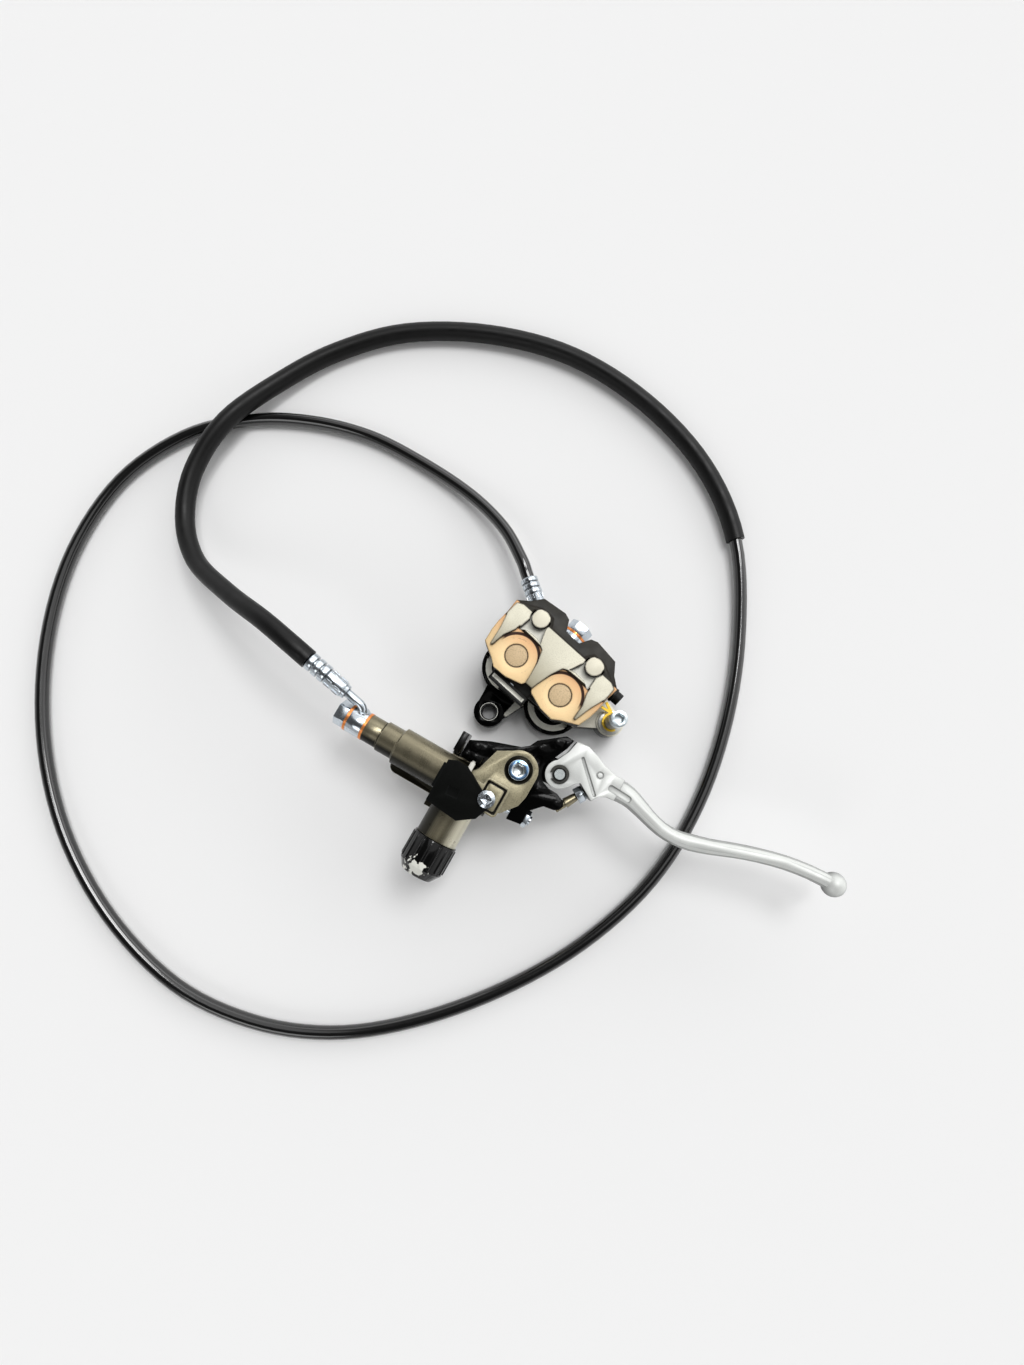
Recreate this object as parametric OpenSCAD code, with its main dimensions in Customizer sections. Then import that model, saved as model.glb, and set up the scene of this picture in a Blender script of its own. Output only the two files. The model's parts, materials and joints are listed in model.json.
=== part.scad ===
// Hydraulic disc brake: hand master cylinder, brake hose and four-piston caliper.
// Millimetres. The brake lies on a table whose top is z = 0.

/* [Master cylinder] */
// Height of the cylinder bore above the table
bore_z = 37; // [36:0.5:40]
// Radius of the cylinder bore
bore_r = 6; // [5:0.1:6.5]
// Outer radius of the cylinder tube
tube_r = 9.9; // [9.4:0.1:10.3]
// Length from the union face to the mouth of the bore
tube_len = 74; // [73:0.5:75]
// Outer radius of the fluid reservoir
reservoir_r = 10.9; // [10:0.1:11.5]
// Wall of the fluid reservoir
reservoir_wall = 1.7; // [1.2:0.1:2.5]
// Length of the reservoir cap
reservoir_cap_len = 20; // [17:0.5:24]
// Radius of the handlebar that the clamp holds
bar_r = 11.1; // [10.5:0.1:11.2]
// Wall of the bar clamp
clamp_wall = 4; // [3.5:0.1:4.1]
// Width of the bar clamp along the bar
clamp_w = 20; // [16:0.5:22]
// Radius of the clamp bolts
clamp_bolt_r = 2.5; // [2:0.1:3]
// Thickness of each clevis ear
ear_t = 4.6; // [4:0.1:5]
// Thickness of the switch housing
switch_t = 4; // [3:0.1:6]

/* [Lever] */
// Thickness of the lever carrier
carrier_t = 11.8; // [10:0.1:12.4]
// Radius of the main pivot bolt
pivot_r = 4; // [3:0.1:4.5]
// Thickness of the lever at its fork
lever_t = 12.6; // [11:0.1:13]
// Thickness of the carrier tongue inside the fork
tongue_t = 5.2; // [4:0.1:6]
// Radius of the lever pin
lever_pin_r = 3.4; // [2.5:0.1:3.6]
// Radius of the free-play screw
push_screw_r = 2.5; // [2:0.1:3]
// Radius of the span adjuster rod
adjuster_r = 2; // [1.5:0.1:2.2]
// Width across flats of the span adjuster knob
adjuster_flats = 8; // [7:0.1:8.5]

/* [Caliper] */
// Height of the caliper's joint plane
split_z = 22; // [21.5:0.1:22.5]
// Full thickness of the caliper
caliper_t = 44; // [43:0.5:46]
// Distance of each piston from the middle of the caliper
piston_x = 15.15; // [14.8:0.05:15.5]
// Radius of the caliper pistons
piston_r = 9; // [8:0.1:9.5]
// Outer radius of the piston bosses
boss_r = 12; // [11.5:0.1:12.3]
// Width of the pad pocket between the pistons
pocket_w = 18; // [17.8:0.1:19]
// Thickness of a pad's backing plate
backing_t = 3; // [2.5:0.1:3.2]
// Thickness of a pad's friction block
friction_t = 3.2; // [2:0.1:3.4]
// Radius of the pad pin
pad_pin_r = 2; // [1.5:0.1:2.3]
// Radius of the bolts that join the halves
body_bolt_r = 3; // [2.5:0.1:3.3]
// Bore radius of the left mounting ear's liner
ear_bore_r = 4; // [3:0.1:4.3]
// Radius of the mounting bolt
mount_bolt_r = 3; // [2.5:0.1:3.3]
// Height of the mounting bolt's head above the table
mount_bolt_top = 54; // [50:0.5:55]

/* [Unions and hose] */
// Radius of both union bolts
union_bolt_r = 5; // [4:0.1:5.2]
// Radius of the round eyes on the hose ends
eye_r = 7.4; // [7:0.1:7.8]
// Thickness of the round eyes
eye_t = 8.2; // [7:0.1:8.5]
// Thickness of the copper washers
washer_t = 1.4; // [1:0.1:1.6]
// Outer diameter of the brake hose
hose_d = 7.3; // [6:0.1:8]
// Outer diameter of the sleeve on the hose
sleeve_d = 10.6; // [9:0.1:11]
// Radius of the crimped ferrules
ferrule_r = 4.9; // [4.2:0.1:5]

/* [Hidden] */
$fn = 48;
eps = 0.01;
// Radial clearance of a running fit
fit = 0.08;
// Gap between faces of pieces that move past each other
gap = 0.3;

// Origin of the model, at the middle of the rigid pieces
origin_shift = [-30.7, 27.1, 0];
master_pos = [-74.2, -27.6];
master_turn = -29.7;
caliper_pos = [13.4, -1.2];
caliper_turn = -42.5;

// Bar clamp, below the cylinder
clamp_x = tube_len - 20;
bar_y = -5;
bar_z = bar_r + clamp_wall - bore_z;
clamp_bolt_y = bar_r + 6.5;
clamp_floor = -bore_z;
saddle_z = bar_z + 0.6;
bar_room = 0.5;
// Fin of the lower clamp half, beside the cylinder
fin_x = clamp_x - 10.6;
fin_t = 3.6;
fin_y = [12, 23];
fin_top = -4;

// Clevis and pivot
pivot = [tube_len + 4.1, 19.5];
ear_in = carrier_t / 2 + 0.5;
ear_out = ear_in + ear_t;
plate_z = 12.4;
plate_top = plate_z + switch_t;
switch_screw_pos = [tube_len - 2.6, -0.5];
// Lug that carries the switch screw, and the groove round its top
lug_low = [tube_len - 7.5, -7];
lug_high = [tube_len + 5.4, 9.2];
lug_groove = [0.9, 2.3];
lug_r = 2;
pivot_head_r = 5.15;
counterbore_r = 7.2;
counterbore_d = 1.4;
plunger_x = tube_len - 17;
plunger_z = plate_z + switch_t / 2;
plunger_tip = 12.6;

// Reservoir
reservoir_pos = [tube_len - 15.1, -1];
reservoir_start = 8;
reservoir_end = 31;
neck_len = 9;
neck_r = reservoir_r - 0.9;
cap_r = reservoir_r + 0.7;
cap_start = reservoir_end + gap;
diaphragm_t = 1.2;

// Steps of the cylinder towards the union, and the rib below it
collar_len = 8.2;
neck_start = 9;
shoulder_x = 19;
rib_y = -13.6;
rib_low = -10.2;

// Piston in the master cylinder
bore_start = 14;
piston_start = bore_start + (tube_len - bore_start) / 3;
land_r = bore_r - fit;
stem_r = bore_r - 2;
push_r = bore_r - 1.4;
piston_end = tube_len + 6;
rear_land = [tube_len - 14, tube_len - 4];
circlip_x = tube_len - 2;
circlip_t = 1;

// Lever and adjuster
lever_pin_pos = pivot + [18.9, 8.3];
lever_eye_r = 7.3;
fork_slot = tongue_t / 2 + 0.4;
tongue_r = lever_eye_r - 0.4;
rod_base = pivot + [26.5, -6.8];
rod_turn = 60;
rod_len = 22;
knob_s = 13.4;
knob_len = 4.5;
push_screw_start = piston_end;
push_screw_end = tube_len + 21;
push_nut_x = push_screw_end - 2.7;
// Barrel of the adjuster rod, between the carrier and the knob
barrel = [4.6, 10.6];
barrel_r = adjuster_r + 0.7;

// Unions
union_hole_r = union_bolt_r + 0.05;
union_head_t = 6.2;
neck_tube_r = 2.4;
bend_start = 5.1;
bend_r = 5;
master_neck_turn = 167;
master_neck_len = 9;
caliper_neck_turn = 152;
caliper_neck_len = 19;
elbow_r = 3;

// Caliper heights
pocket_low = split_z - pocket_w / 2;
pocket_high = split_z + pocket_w / 2;
face_z = caliper_t - 2.5;
pocket_floor = caliper_t - 4.5;
bore_roof = 2;
piston_len = pocket_low - bore_roof - 1.5;
pad_half = 28.2;
slot_half = 2.7;
pad_out_z = pocket_high - gap - backing_t;
pad_in_z = pocket_low + gap;
disc_x = 18.4;
disc_y = 22.4;
disc_r = 4.7;
pad_pin_pos = [-7.4, -13.4];
tongue_x = -18.6;
tongue_y = -16.6;
tongue_low = pocket_high + gap;
tongue_len = 22;
tongue_h = 3;
left_ear = [-8.2, -29.7];
left_ear_top = 12;
left_ear_r = 8.4;
right_ear = [44.6, 9.6];
right_ear_top = 20;
right_ear_r = 7.4;
crossover_y = 17.6;
union_x = -1.4;
union_z = 15;
union_seat = 22.8;
notch_half = eye_r + 1.6;
ledge_r = boss_r + 4;
ledge_pos = [piston_x + 0.6, -3.6];
bleed_pos = [22.2, 23, 15];
wall_x = 33;
seal_band = [2.2, 4.4];
dust_band = [0.8, 2];

// Outline or list of stations whose x is given from the mouth of the bore
function from_mouth(list) =
    [for (p = list) [for (i = [0:len(p) - 1]) i == 0 ? p[0] + tube_len : p[i]]];
// Backing plate outline with the tab for the pad pin, and the friction block's outline
tab_half = 5.6;
backing_outline = [
    [-pad_half, -5], [-pad_half + 6.2, -10.6], [pad_pin_pos[0] - tab_half - 0.4, -11.2],
    [pad_pin_pos[0] - tab_half, -17], [pad_pin_pos[0] + tab_half - 0.2, -17],
    [pad_pin_pos[0] + tab_half + 0.2, -11.2], [pad_half - 6.2, -10.6], [pad_half, -5],
    [pad_half, 10], [pad_half - 3.2, 12.6], [-pad_half + 3.2, 12.6], [-pad_half, 10]
];
friction_half = pad_half - 2.2;
friction_outline = [
    [-friction_half, -5], [-friction_half + 5, -9.6], [friction_half - 5, -9.6],
    [friction_half, -5], [friction_half, 9], [friction_half - 2.6, 11.4],
    [-friction_half + 2.6, 11.4], [-friction_half, 9]
];

function mirrored(half) =
    concat(half, [for (i = [len(half) - 1:-1:0]) [-half[i][0], half[i][1]]]);

// Half outline of the outer half, from the web's foot round to the notch
outer_half_outline = [
    [2.2, -7.3], [3.3, -9.1], [12, -11.8], [20, -12.2], [24, -9.4], [32.5, -5], [34, 2],
    [34.4, 7.5], [34.2, 14.5], [34.8, 21.8], [29, 26.2], [24.5, 32], [11.2, 33.6],
    [7.6, 32.3], [4.4, 26.6]
];
// Half outline of the inner half's core
inner_half_outline = [
    [0, -14], [10, -14], [wall_x - 3, -8], [wall_x, 0], [wall_x, 27], [29, 29.5],
    [9.5, 29.5], [9.5, union_seat], [0, union_seat]
];
lobe_low = [[8, 10], [34.4, 8], [34.8, 21.8], [29, 26.2], [24.5, 32], [11.2, 33.6],
            [7.6, 32.3], [4.4, 26.6]];
lobe_top = [[9, 12], [33.6, 13], [33.4, 20.4], [24.6, 24.4], [21, 26.6], [15, 26.4],
            [12.4, 22.3]];
web_centre = [
    [2.2, -7.3], [2.7, -4], [4.6, 4.6], [7.1, 10.8], [11.4, 13], [13.4, 22.3]
];
web_side = [
    [23.3, 21.2], [24.6, 9.6], [27.2, 3.4], [28.1, -4.2], [29.2, -4.4], [31, 5.4],
    [33.4, 13.4], [33.4, 20.4]
];
low_pocket = [[13.2, 20.6], [9.9, 12.5], [13, 13.6], [19, 13.4], [23.8, 11.2], [22.6, 20.4]];

// Plan outlines of the clevis ears, the switch and the lever carrier
ear_outline = from_mouth([
    [-16, 7], [-13.5, 10.4], [-9.9, 22.5], [0, 28.2], [7.5, 28], [11.4, 25.3], [13.9, 19.4],
    [13.8, 9.6], [12.5, 4.1], [6.5, -3.4], [2, -6], [-16, -6]
]);
switch_outline = from_mouth([
    [-28.2, -15.2], [-10.4, -16.8], [-2.5, -11.2], [1.1, -2.1], [-10.2, 4.2], [-18, 8.6],
    [-24.6, 8.8], [-28.4, 7]
]);
carrier_outline = from_mouth([
    [-25, 10.8], [-3.5, 10.8], [2, 12.4], [6, 12.4], [10.4, 8], [10.6, -4.6], [18.2, -3.4],
    [18.2, 4], [23.8, 10], [29, 10.8], [31.4, 12.2], [32.4, 14.6], [31.2, 17], [26.6, 18.8],
    [22, 18.9], [18, 20.3], [15.4, 23], [14.2, 27], [14.8, 31], [17.2, 34.4], [20.2, 41],
    [21.4, 46.2], [16.9, 46.3], [5.1, 37.1], [3.2, 33.1], [-0.3, 30.3], [-15.1, 25.2],
    [-25, 20.4]
]);
lever_outline = from_mouth([
    [18.6, 33.5], [21.7, 40], [23.1, 46.5], [29.3, 47.2], [35.7, 45.3], [41.1, 42.9],
    [47.8, 41.4], [53, 41.5], [53, 29.9], [48.9, 29.5], [45.5, 27.7], [43.2, 24], [34.4, 29.1],
    [32.4, 27.6], [29.4, 23.6]
]);
// Small bosses on the carrier's face: place, radius and height
carrier_bosses = from_mouth([
    [-20, 19, 2.4, 2], [-12, 21.6, 1.6, 1.4], [15, 41, 2.6, 1.6], [8.6, 34.4, 1.8, 1.2],
    [29, 13.8, 2.2, 0.8], [19.2, 43.2, 1.4, 1], [17, 15.6, 1.3, 0.8], [-22.6, 13.6, 1.2, 1.6]
]);
// Middle line and half width of the lever blade, from the fork to the ball end
blade_stations = from_mouth([
    [49, 35.4, 5.9], [56, 35.8, 5.6], [62.4, 34.8, 4.9], [72, 31.7, 4.1], [81, 29.5, 3.9],
    [89, 29.3, 4], [97, 30.8, 4.3], [107, 33.9, 4], [118, 38.2, 3.8], [130, 42.2, 3.7],
    [143, 45.6, 3.7], [156, 47.6, 3.7], [167, 48.2, 3.8]
]);
blade_half_t = [6.2, 4.9];
ball_pos = [tube_len + 169.5, 48.2];
ball_r = 6.2;

// Hose route along its middle, from the caliper ferrule to the master ferrule
hose_route = [
    [9.12, 57.02, 15], [8.12, 59.85, 15], [5.1, 68.3, 15], [-5, 88, 11], [-24, 109, 6],
    [-52, 129, 4],
    [-84, 146, 3.8], [-119, 155, 3.8], [-155, 156, 3.8], [-193, 146, 3.8],
    [-229, 119, 3.8], [-254, 76, 3.8], [-265, 25, 3.8], [-263, -30, 3.8],
    [-248, -82, 3.8], [-220, -128, 3.8], [-182, -164, 3.8], [-140, -183, 3.8],
    [-97, -189, 3.8], [-53, -183, 3.8], [-6, -167, 3.8], [38, -143, 3.8],
    [76, -110, 3.8], [103, -69, 3.8], [121, -21, 3.8], [130, 30, 3.8], [129, 82, 5.4],
    [112, 127, 5.4], [79, 166, 5.4], [36, 195, 5.4], [-13, 209, 5.4], [-63, 210, 5.4],
    [-104, 198, 5.4], [-136, 178, 8], [-165, 151, 13.2], [-183, 122, 11.5],
    [-187, 93, 10.6], [-177, 67, 16.5], [-152.5, 45, 31], [-128, 27.2, 44],
    [-112.26, 14.28, 47.11], [-105.51, 8.41, 46.1], [-103.26, 6.45, 45.765]
];
// First route point that the sleeve covers
sleeve_first = 26;
hose_sides = 8;
sleeve_sides = 10;

// Smooth curve through a list of points
function curve_point(p, i, t) =
    let (n = len(p) - 1,
         a = p[max(i - 1, 0)], b = p[i], c = p[min(i + 1, n)], d = p[min(i + 2, n)])
    0.5 * (2 * b + (c - a) * t + (2 * a - 5 * b + 4 * c - d) * t * t
           + (3 * b - a - 3 * c + d) * t * t * t);
function smooth_curve(p, steps) =
    concat([for (i = [0:len(p) - 2], k = [0:steps - 1]) curve_point(p, i, k / steps)],
           [p[len(p) - 1]]);
hose_path = smooth_curve(hose_route, 2);
function unit(v) = v / norm(v);
// Sideways and upward directions of a section at one point of a path
function heading(p, i) = unit(p[min(i + 1, len(p) - 1)] - p[max(i - 1, 0)]);
function side_of(h) = unit(cross([0, 0, 1], h));
function ring(p, i, r, sides) =
    let (h = heading(p, i), s = side_of(h), u = cross(h, s))
    [for (k = [0:sides - 1]) let (a = 360 * k / sides) p[i] + r * (cos(a) * s + sin(a) * u)];
function tail(p, first) = [for (i = [first:len(p) - 1]) p[i]];

// Solid swept through rings of points
module swept(rings, sides, closed = false) {
    n = len(rings);
    walls = [
        for (i = [0:n - (closed ? 1 : 2)], k = [0:sides - 1])
            let (j = (i + 1) % n, m = (k + 1) % sides)
            [i * sides + k, j * sides + k, j * sides + m, i * sides + m]
    ];
    ends = closed ? [] : [
        [for (k = [0:sides - 1]) k],
        [for (k = [sides - 1:-1:0]) (n - 1) * sides + k]
    ];
    polyhedron([for (r = rings) each r], concat(walls, ends));
}

module along_x() rotate([0, 90, 0]) children();
module along_y() rotate([-90, 0, 0]) children();

module tube_shape(r, r_in, h) difference() {
    cylinder(r = r, h = h);
    translate([0, 0, -1]) cylinder(r = r_in, h = h + 2);
}

module hexagon(flats, h) cylinder(r = flats / sqrt(3), h = h, $fn = 6);

// Plate with round corners, by its two far corners
module round_plate(low, high, r, h) {
    translate([low[0] + r, low[1], 0]) cube([high[0] - low[0] - 2 * r, high[1] - low[1], h]);
    translate([low[0], low[1] + r, 0]) cube([high[0] - low[0], high[1] - low[1] - 2 * r, h]);
    for (x = [low[0] + r, high[0] - r], y = [low[1] + r, high[1] - r])
        translate([x, y, 0]) cylinder(r = r, h = h);
}

// Slab of an outline between two heights
module slab(outline, low, high)
    translate([0, 0, low]) linear_extrude(high - low) polygon(outline);

module in_master()
    translate([master_pos[0], master_pos[1], bore_z] + origin_shift)
        rotate([0, 0, master_turn]) children();
module in_caliper()
    translate([caliper_pos[0], caliper_pos[1], 0] + origin_shift)
        rotate([0, 0, caliper_turn]) children();
module at_adjuster()
    translate([rod_base[0], rod_base[1], 0]) rotate([0, 0, rod_turn]) along_x() children();
module at_reservoir()
    translate([reservoir_pos[0], 0, reservoir_pos[1]]) rotate([90, 0, 0]) children();
module at_master_union() rotate([30, 0, 0]) children();
module at_caliper_union()
    translate([union_x, union_seat, union_z]) along_y() children();

// Cylinder casting with its clevis ears, reservoir tube and bar saddle
module master_body() color([0.44, 0.41, 0.32]) in_master() difference() {
    union() {
        along_x() cylinder(r = tube_r - 2.6, h = collar_len);
        along_x() cylinder(r = tube_r - 3.3, h = neck_start + 1);
        translate([neck_start, 0, 0])
            along_x() cylinder(r = tube_r - 1.7, h = shoulder_x - neck_start + 1);
        translate([shoulder_x, 0, 0]) along_x() cylinder(r = tube_r, h = tube_len - shoulder_x);
        translate([shoulder_x - 1, 0, 0])
            along_x() cylinder(r1 = tube_r - 1.7, r2 = tube_r, h = 1.5);
        slab(ear_outline, ear_in, ear_out);
        translate([pivot[0], pivot[1], ear_in]) cylinder(r = 9.8, h = ear_t);
        slab(ear_outline, -ear_out, -ear_in);
        translate([0, 0, ear_out - eps])
            round_plate(lug_low, lug_high, lug_r, plate_z - ear_out);
        translate([tube_len - 26, -11, 4]) cube([21, 16, plate_z - 4]);
        translate([0, 0, rib_low]) round_plate([shoulder_x, rib_y], [tube_len - 24, 0], 4, 6);
        translate([tube_len - 24, rib_y, rib_low]) cube([18, 13, 14]);
        at_reservoir() translate([0, 0, reservoir_start])
            cylinder(r = reservoir_r, h = reservoir_end - reservoir_start);
        at_reservoir() cylinder(r = neck_r, h = reservoir_end + neck_len);
        saddle();
    }
    // Bore, union thread and feed hole
    translate([bore_start, 0, 0]) along_x() cylinder(r = bore_r, h = tube_len);
    translate([-1, 0, 0]) along_x() cylinder(r = union_hole_r, h = 12);
    translate([8, 0, 0]) along_x() cylinder(r = 1.5, h = 10);
    translate([circlip_x - circlip_t / 2, 0, 0])
        along_x() cylinder(r = bore_r + 0.9, h = circlip_t);
    at_reservoir() translate([0, 0, tube_r + 2])
        cylinder(r = reservoir_r - reservoir_wall, h = reservoir_end + neck_len);
    at_reservoir() cylinder(r = 0.9, h = tube_r + 4);
    // Room between the ears for the carrier, and the pivot holes
    translate([tube_len, -tube_r - 1, -ear_in]) cube([30, 2 * tube_r + 2, 2 * ear_in]);
    translate([pivot[0], pivot[1], -20]) cylinder(r = pivot_r + 0.05, h = 40);
    translate([pivot[0], pivot[1], ear_out - counterbore_d])
        cylinder(r = counterbore_r, h = 5);
    // Switch screw hole and the tray of its lug
    translate([switch_screw_pos[0], switch_screw_pos[1], plate_z - 6])
        cylinder(r = 2.05, h = 8);
    translate([0, 0, plate_z - 0.8]) difference() {
        in_lug(lug_groove[0], 3);
        translate([0, 0, -1]) in_lug(lug_groove[1], 6);
    }
    // Bar, with more room for it past the clamp, and clamp bolts
    translate([clamp_x - 2 * clamp_w, bar_y, bar_z]) along_x()
        cylinder(r = bar_r, h = 4 * clamp_w);
    for (x = [clamp_x - 2.5 * clamp_w, clamp_x + clamp_w / 2])
        translate([x, bar_y, bar_z]) along_x() cylinder(r = bar_r + bar_room, h = 2 * clamp_w);
    for (s = [-1, 1]) translate([clamp_x, bar_y + s * clamp_bolt_y, saddle_z - 1])
        cylinder(r = clamp_bolt_r + 0.05, h = 8);
}

// Plate with the lug's outline drawn in by an inset
module in_lug(inset, h)
    round_plate(lug_low + [inset, inset], lug_high - [inset, inset], lug_r - min(inset, 1), h);

// Upper half of the bar clamp
module saddle() {
    translate([clamp_x - clamp_w / 2, bar_y - bar_r - clamp_wall, saddle_z])
        cube([clamp_w, 2 * (bar_r + clamp_wall), -saddle_z - 8]);
    for (s = [-1, 1]) translate([clamp_x, bar_y + s * clamp_bolt_y, saddle_z])
        cylinder(r = 6, h = 9.6);
    translate([clamp_x - 6, bar_y - clamp_bolt_y, saddle_z])
        cube([12, 2 * clamp_bolt_y, 9.6]);
}

// Ribbed screw cap of the reservoir
module reservoir_cap() color([0.03, 0.03, 0.03]) in_master() at_reservoir() difference() {
    union() {
        translate([0, 0, cap_start]) cylinder(r = cap_r, h = reservoir_cap_len - 5);
        translate([0, 0, cap_start + reservoir_cap_len - 5 - eps])
            cylinder(r1 = cap_r, r2 = cap_r - 3.2, h = 5 - gap);
        for (a = [0:22.5:359]) rotate([0, 0, a]) translate([cap_r - 0.4, 0, cap_start + 1])
            cylinder(r = 0.9, h = reservoir_cap_len - 7);
    }
    translate([0, 0, cap_start - 1])
        cylinder(r = neck_r + gap / 2, h = neck_len + diaphragm_t + 1.2);
    translate([0, 0, cap_start]) cylinder(r = neck_r - 2.6, h = reservoir_cap_len - 4);
}

// Rubber bellows that seals the reservoir under its cap
module reservoir_diaphragm() color([0.12, 0.12, 0.12]) in_master() at_reservoir() {
    z = reservoir_end + neck_len;
    difference() {
        union() {
            translate([0, 0, z]) cylinder(r = neck_r - 0.3, h = diaphragm_t);
            translate([0, 0, z - 6]) cylinder(r = neck_r - reservoir_wall + 0.3, h = 6 + eps);
        }
        translate([0, 0, z - 4.8]) cylinder(r = neck_r - reservoir_wall - 1, h = 8);
    }
}

// Turned piston of the master cylinder
module master_piston() color([0.75, 0.75, 0.72]) in_master() difference() {
    union() {
        translate([piston_start, 0, 0]) along_x() cylinder(r = land_r, h = 3);
        translate([piston_start, 0, 0])
            along_x() cylinder(r = stem_r, h = piston_end - piston_start - 8);
        translate([rear_land[0], 0, 0])
            along_x() cylinder(r = land_r, h = rear_land[1] - rear_land[0]);
        translate([rear_land[1] - 1, 0, 0])
            along_x() cylinder(r = push_r, h = piston_end - rear_land[1] + 1);
    }
    translate([rear_land[0] + 3, 0, 0]) along_x() tube_shape(bore_r + 1, stem_r, 2.6);
}

// Rubber cup at the front of the piston
module primary_cup() color([0.06, 0.06, 0.06]) in_master()
    translate([piston_start, 0, 0]) mirror([1, 0, 0]) along_x() difference() {
        cylinder(r = bore_r - 0.02, h = 3);
        translate([0, 0, 1.2]) cylinder(r1 = 3.4, r2 = 5, h = 2);
    }

// Square ring in the groove of the rear land
module secondary_seal() color([0.06, 0.06, 0.06]) in_master()
    translate([rear_land[0] + 3.1, 0, 0])
        along_x() tube_shape(bore_r - 0.02, stem_r + 0.02, 2.4);

// Return spring between the bore's floor and the cup
module piston_spring() color([0.7, 0.7, 0.7]) in_master() {
    coil_r = 2.4;
    wire_r = 0.5;
    turns = 6;
    steps = 12;
    low = bore_start + wire_r + 0.1;
    high = piston_start - 1.3 - wire_r;
    n = turns * steps;
    path = [
        for (i = [0:n]) let (a = 360 * i / steps)
            [low + (high - low) * i / n, coil_r * cos(a), coil_r * sin(a)]
    ];
    rings = [for (i = [0:n]) let (a = 360 * i / steps, o = [0, cos(a), sin(a)])
        [for (k = [0:5]) path[i] + wire_r * (cos(60 * k) * [1, 0, 0] + sin(60 * k) * o)]];
    swept(rings, 6);
}

// Retaining ring at the mouth of the bore
module piston_circlip() color([0.55, 0.55, 0.52]) in_master()
    translate([circlip_x - circlip_t / 2 + 0.05, 0, 0]) difference() {
        along_x() tube_shape(bore_r + 0.8, push_r + fit, circlip_t - 0.1);
        translate([-1, -1.2, -bore_r - 2]) cube([circlip_t + 2, 2.4, bore_r]);
    }

// Rubber boot between the mouth of the bore and the piston's end
module dust_boot() color([0.05, 0.05, 0.05]) in_master()
    translate([tube_len + 0.1, 0, 0]) along_x() rotate_extrude()
        polygon([[push_r + 0.1, 0], [5.9, 0], [5.9, 0.9], [5.2, 1.7], [6.1, 2.5], [5.2, 3.3],
                 [6, 4.2], [5.6, 4.6], [push_r + 0.1, 4.6]]);

// Brake light switch on top of the cylinder
module switch_body() color([0.06, 0.07, 0.08]) in_master() difference() {
    union() {
        slab(switch_outline, plate_z, plate_top);
        translate([tube_len - 29.6, -8, plate_z]) cube([3.2, 13, switch_t - 1]);
    }
    translate([switch_screw_pos[0], switch_screw_pos[1], plate_z - 1])
        cylinder(r = 2.1, h = switch_t + 2);
    translate([tube_len - 21.2, -8.2, plate_top - 0.5]) rotate([0, 0, 8]) cube([6, 4.6, 1]);
    translate([plunger_x, 3, plunger_z]) along_y() cylinder(r = 1.3 + fit, h = 8);
}

// Cross-head screw that holds the switch
module switch_screw() color([0.8, 0.82, 0.84]) in_master()
    translate([switch_screw_pos[0], switch_screw_pos[1], 0]) difference() {
        union() {
            translate([0, 0, plate_z - 5]) cylinder(r = 2, h = switch_t + 6);
            translate([0, 0, plate_top]) cylinder(r = 4.3, h = 1.3);
            translate([0, 0, plate_top + 1.3 - eps]) cylinder(r1 = 4.3, r2 = 2.8, h = 0.9);
        }
        for (a = [0, 90]) rotate([0, 0, a + 20])
            translate([-2.6, -0.45, plate_top + 1.1]) cube([5.2, 0.9, 2]);
    }

// Plunger that the lever carrier holds in at rest
module switch_plunger() color([0.85, 0.85, 0.82]) in_master()
    translate([plunger_x, 4, plunger_z]) along_y() {
        cylinder(r = 1.3, h = plunger_tip - 4 - 1);
        cylinder(r = 0.9, h = plunger_tip - 4);
    }

// Lower half of the bar clamp, with a locating fin
module bar_clamp() color([0.04, 0.04, 0.04]) in_master() difference() {
    top = bar_z - 0.6;
    union() {
        translate([clamp_x - clamp_w / 2, bar_y, bar_z]) along_x()
            cylinder(r = bar_r + clamp_wall, h = clamp_w);
        for (s = [-1, 1]) translate([clamp_x, bar_y + s * clamp_bolt_y, top - 8])
            cylinder(r = 6, h = 8);
        translate([clamp_x - 6, bar_y - clamp_bolt_y, top - 8]) cube([12, 2 * clamp_bolt_y, 8]);
        translate([fin_x, bar_y + bar_r, top - 5])
            cube([fin_t, fin_y[1] - bar_y - bar_r, 5 + saddle_z - top + 9]);
        translate([fin_x, fin_y[0], top - 5]) cube([fin_t, fin_y[1] - fin_y[0], fin_top - top + 5]);
    }
    translate([clamp_x - clamp_w, bar_y - 2 * clamp_bolt_y, top])
        cube([2 * clamp_w, 2 * clamp_bolt_y + bar_r + 4.2, 2 * clamp_w]);
    translate([clamp_x - 7, bar_y - 2 * clamp_bolt_y, top])
        cube([clamp_w, 4 * clamp_bolt_y, 2 * clamp_w]);
    translate([clamp_x - clamp_w, bar_y, bar_z]) along_x() cylinder(r = bar_r, h = 2 * clamp_w);
    for (s = [-1, 1]) translate([clamp_x, bar_y + s * clamp_bolt_y, clamp_floor - 1]) {
        cylinder(r = clamp_bolt_r + 0.05, h = top - clamp_floor + 2);
        cylinder(r = clamp_bolt_r + 2.1, h = top - 3.4 - clamp_floor + 1);
    }
}

// Two socket screws of the bar clamp
module clamp_bolts() color([0.08, 0.08, 0.08]) in_master()
    for (s = [-1, 1]) translate([clamp_x, bar_y + s * clamp_bolt_y, bar_z - 4]) difference() {
        union() {
            translate([0, 0, -4.6]) cylinder(r = clamp_bolt_r + 1.8, h = 4.6);
            cylinder(r = clamp_bolt_r, h = 10);
        }
        translate([0, 0, -5.6]) hexagon(3, 3.6);
    }

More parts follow.
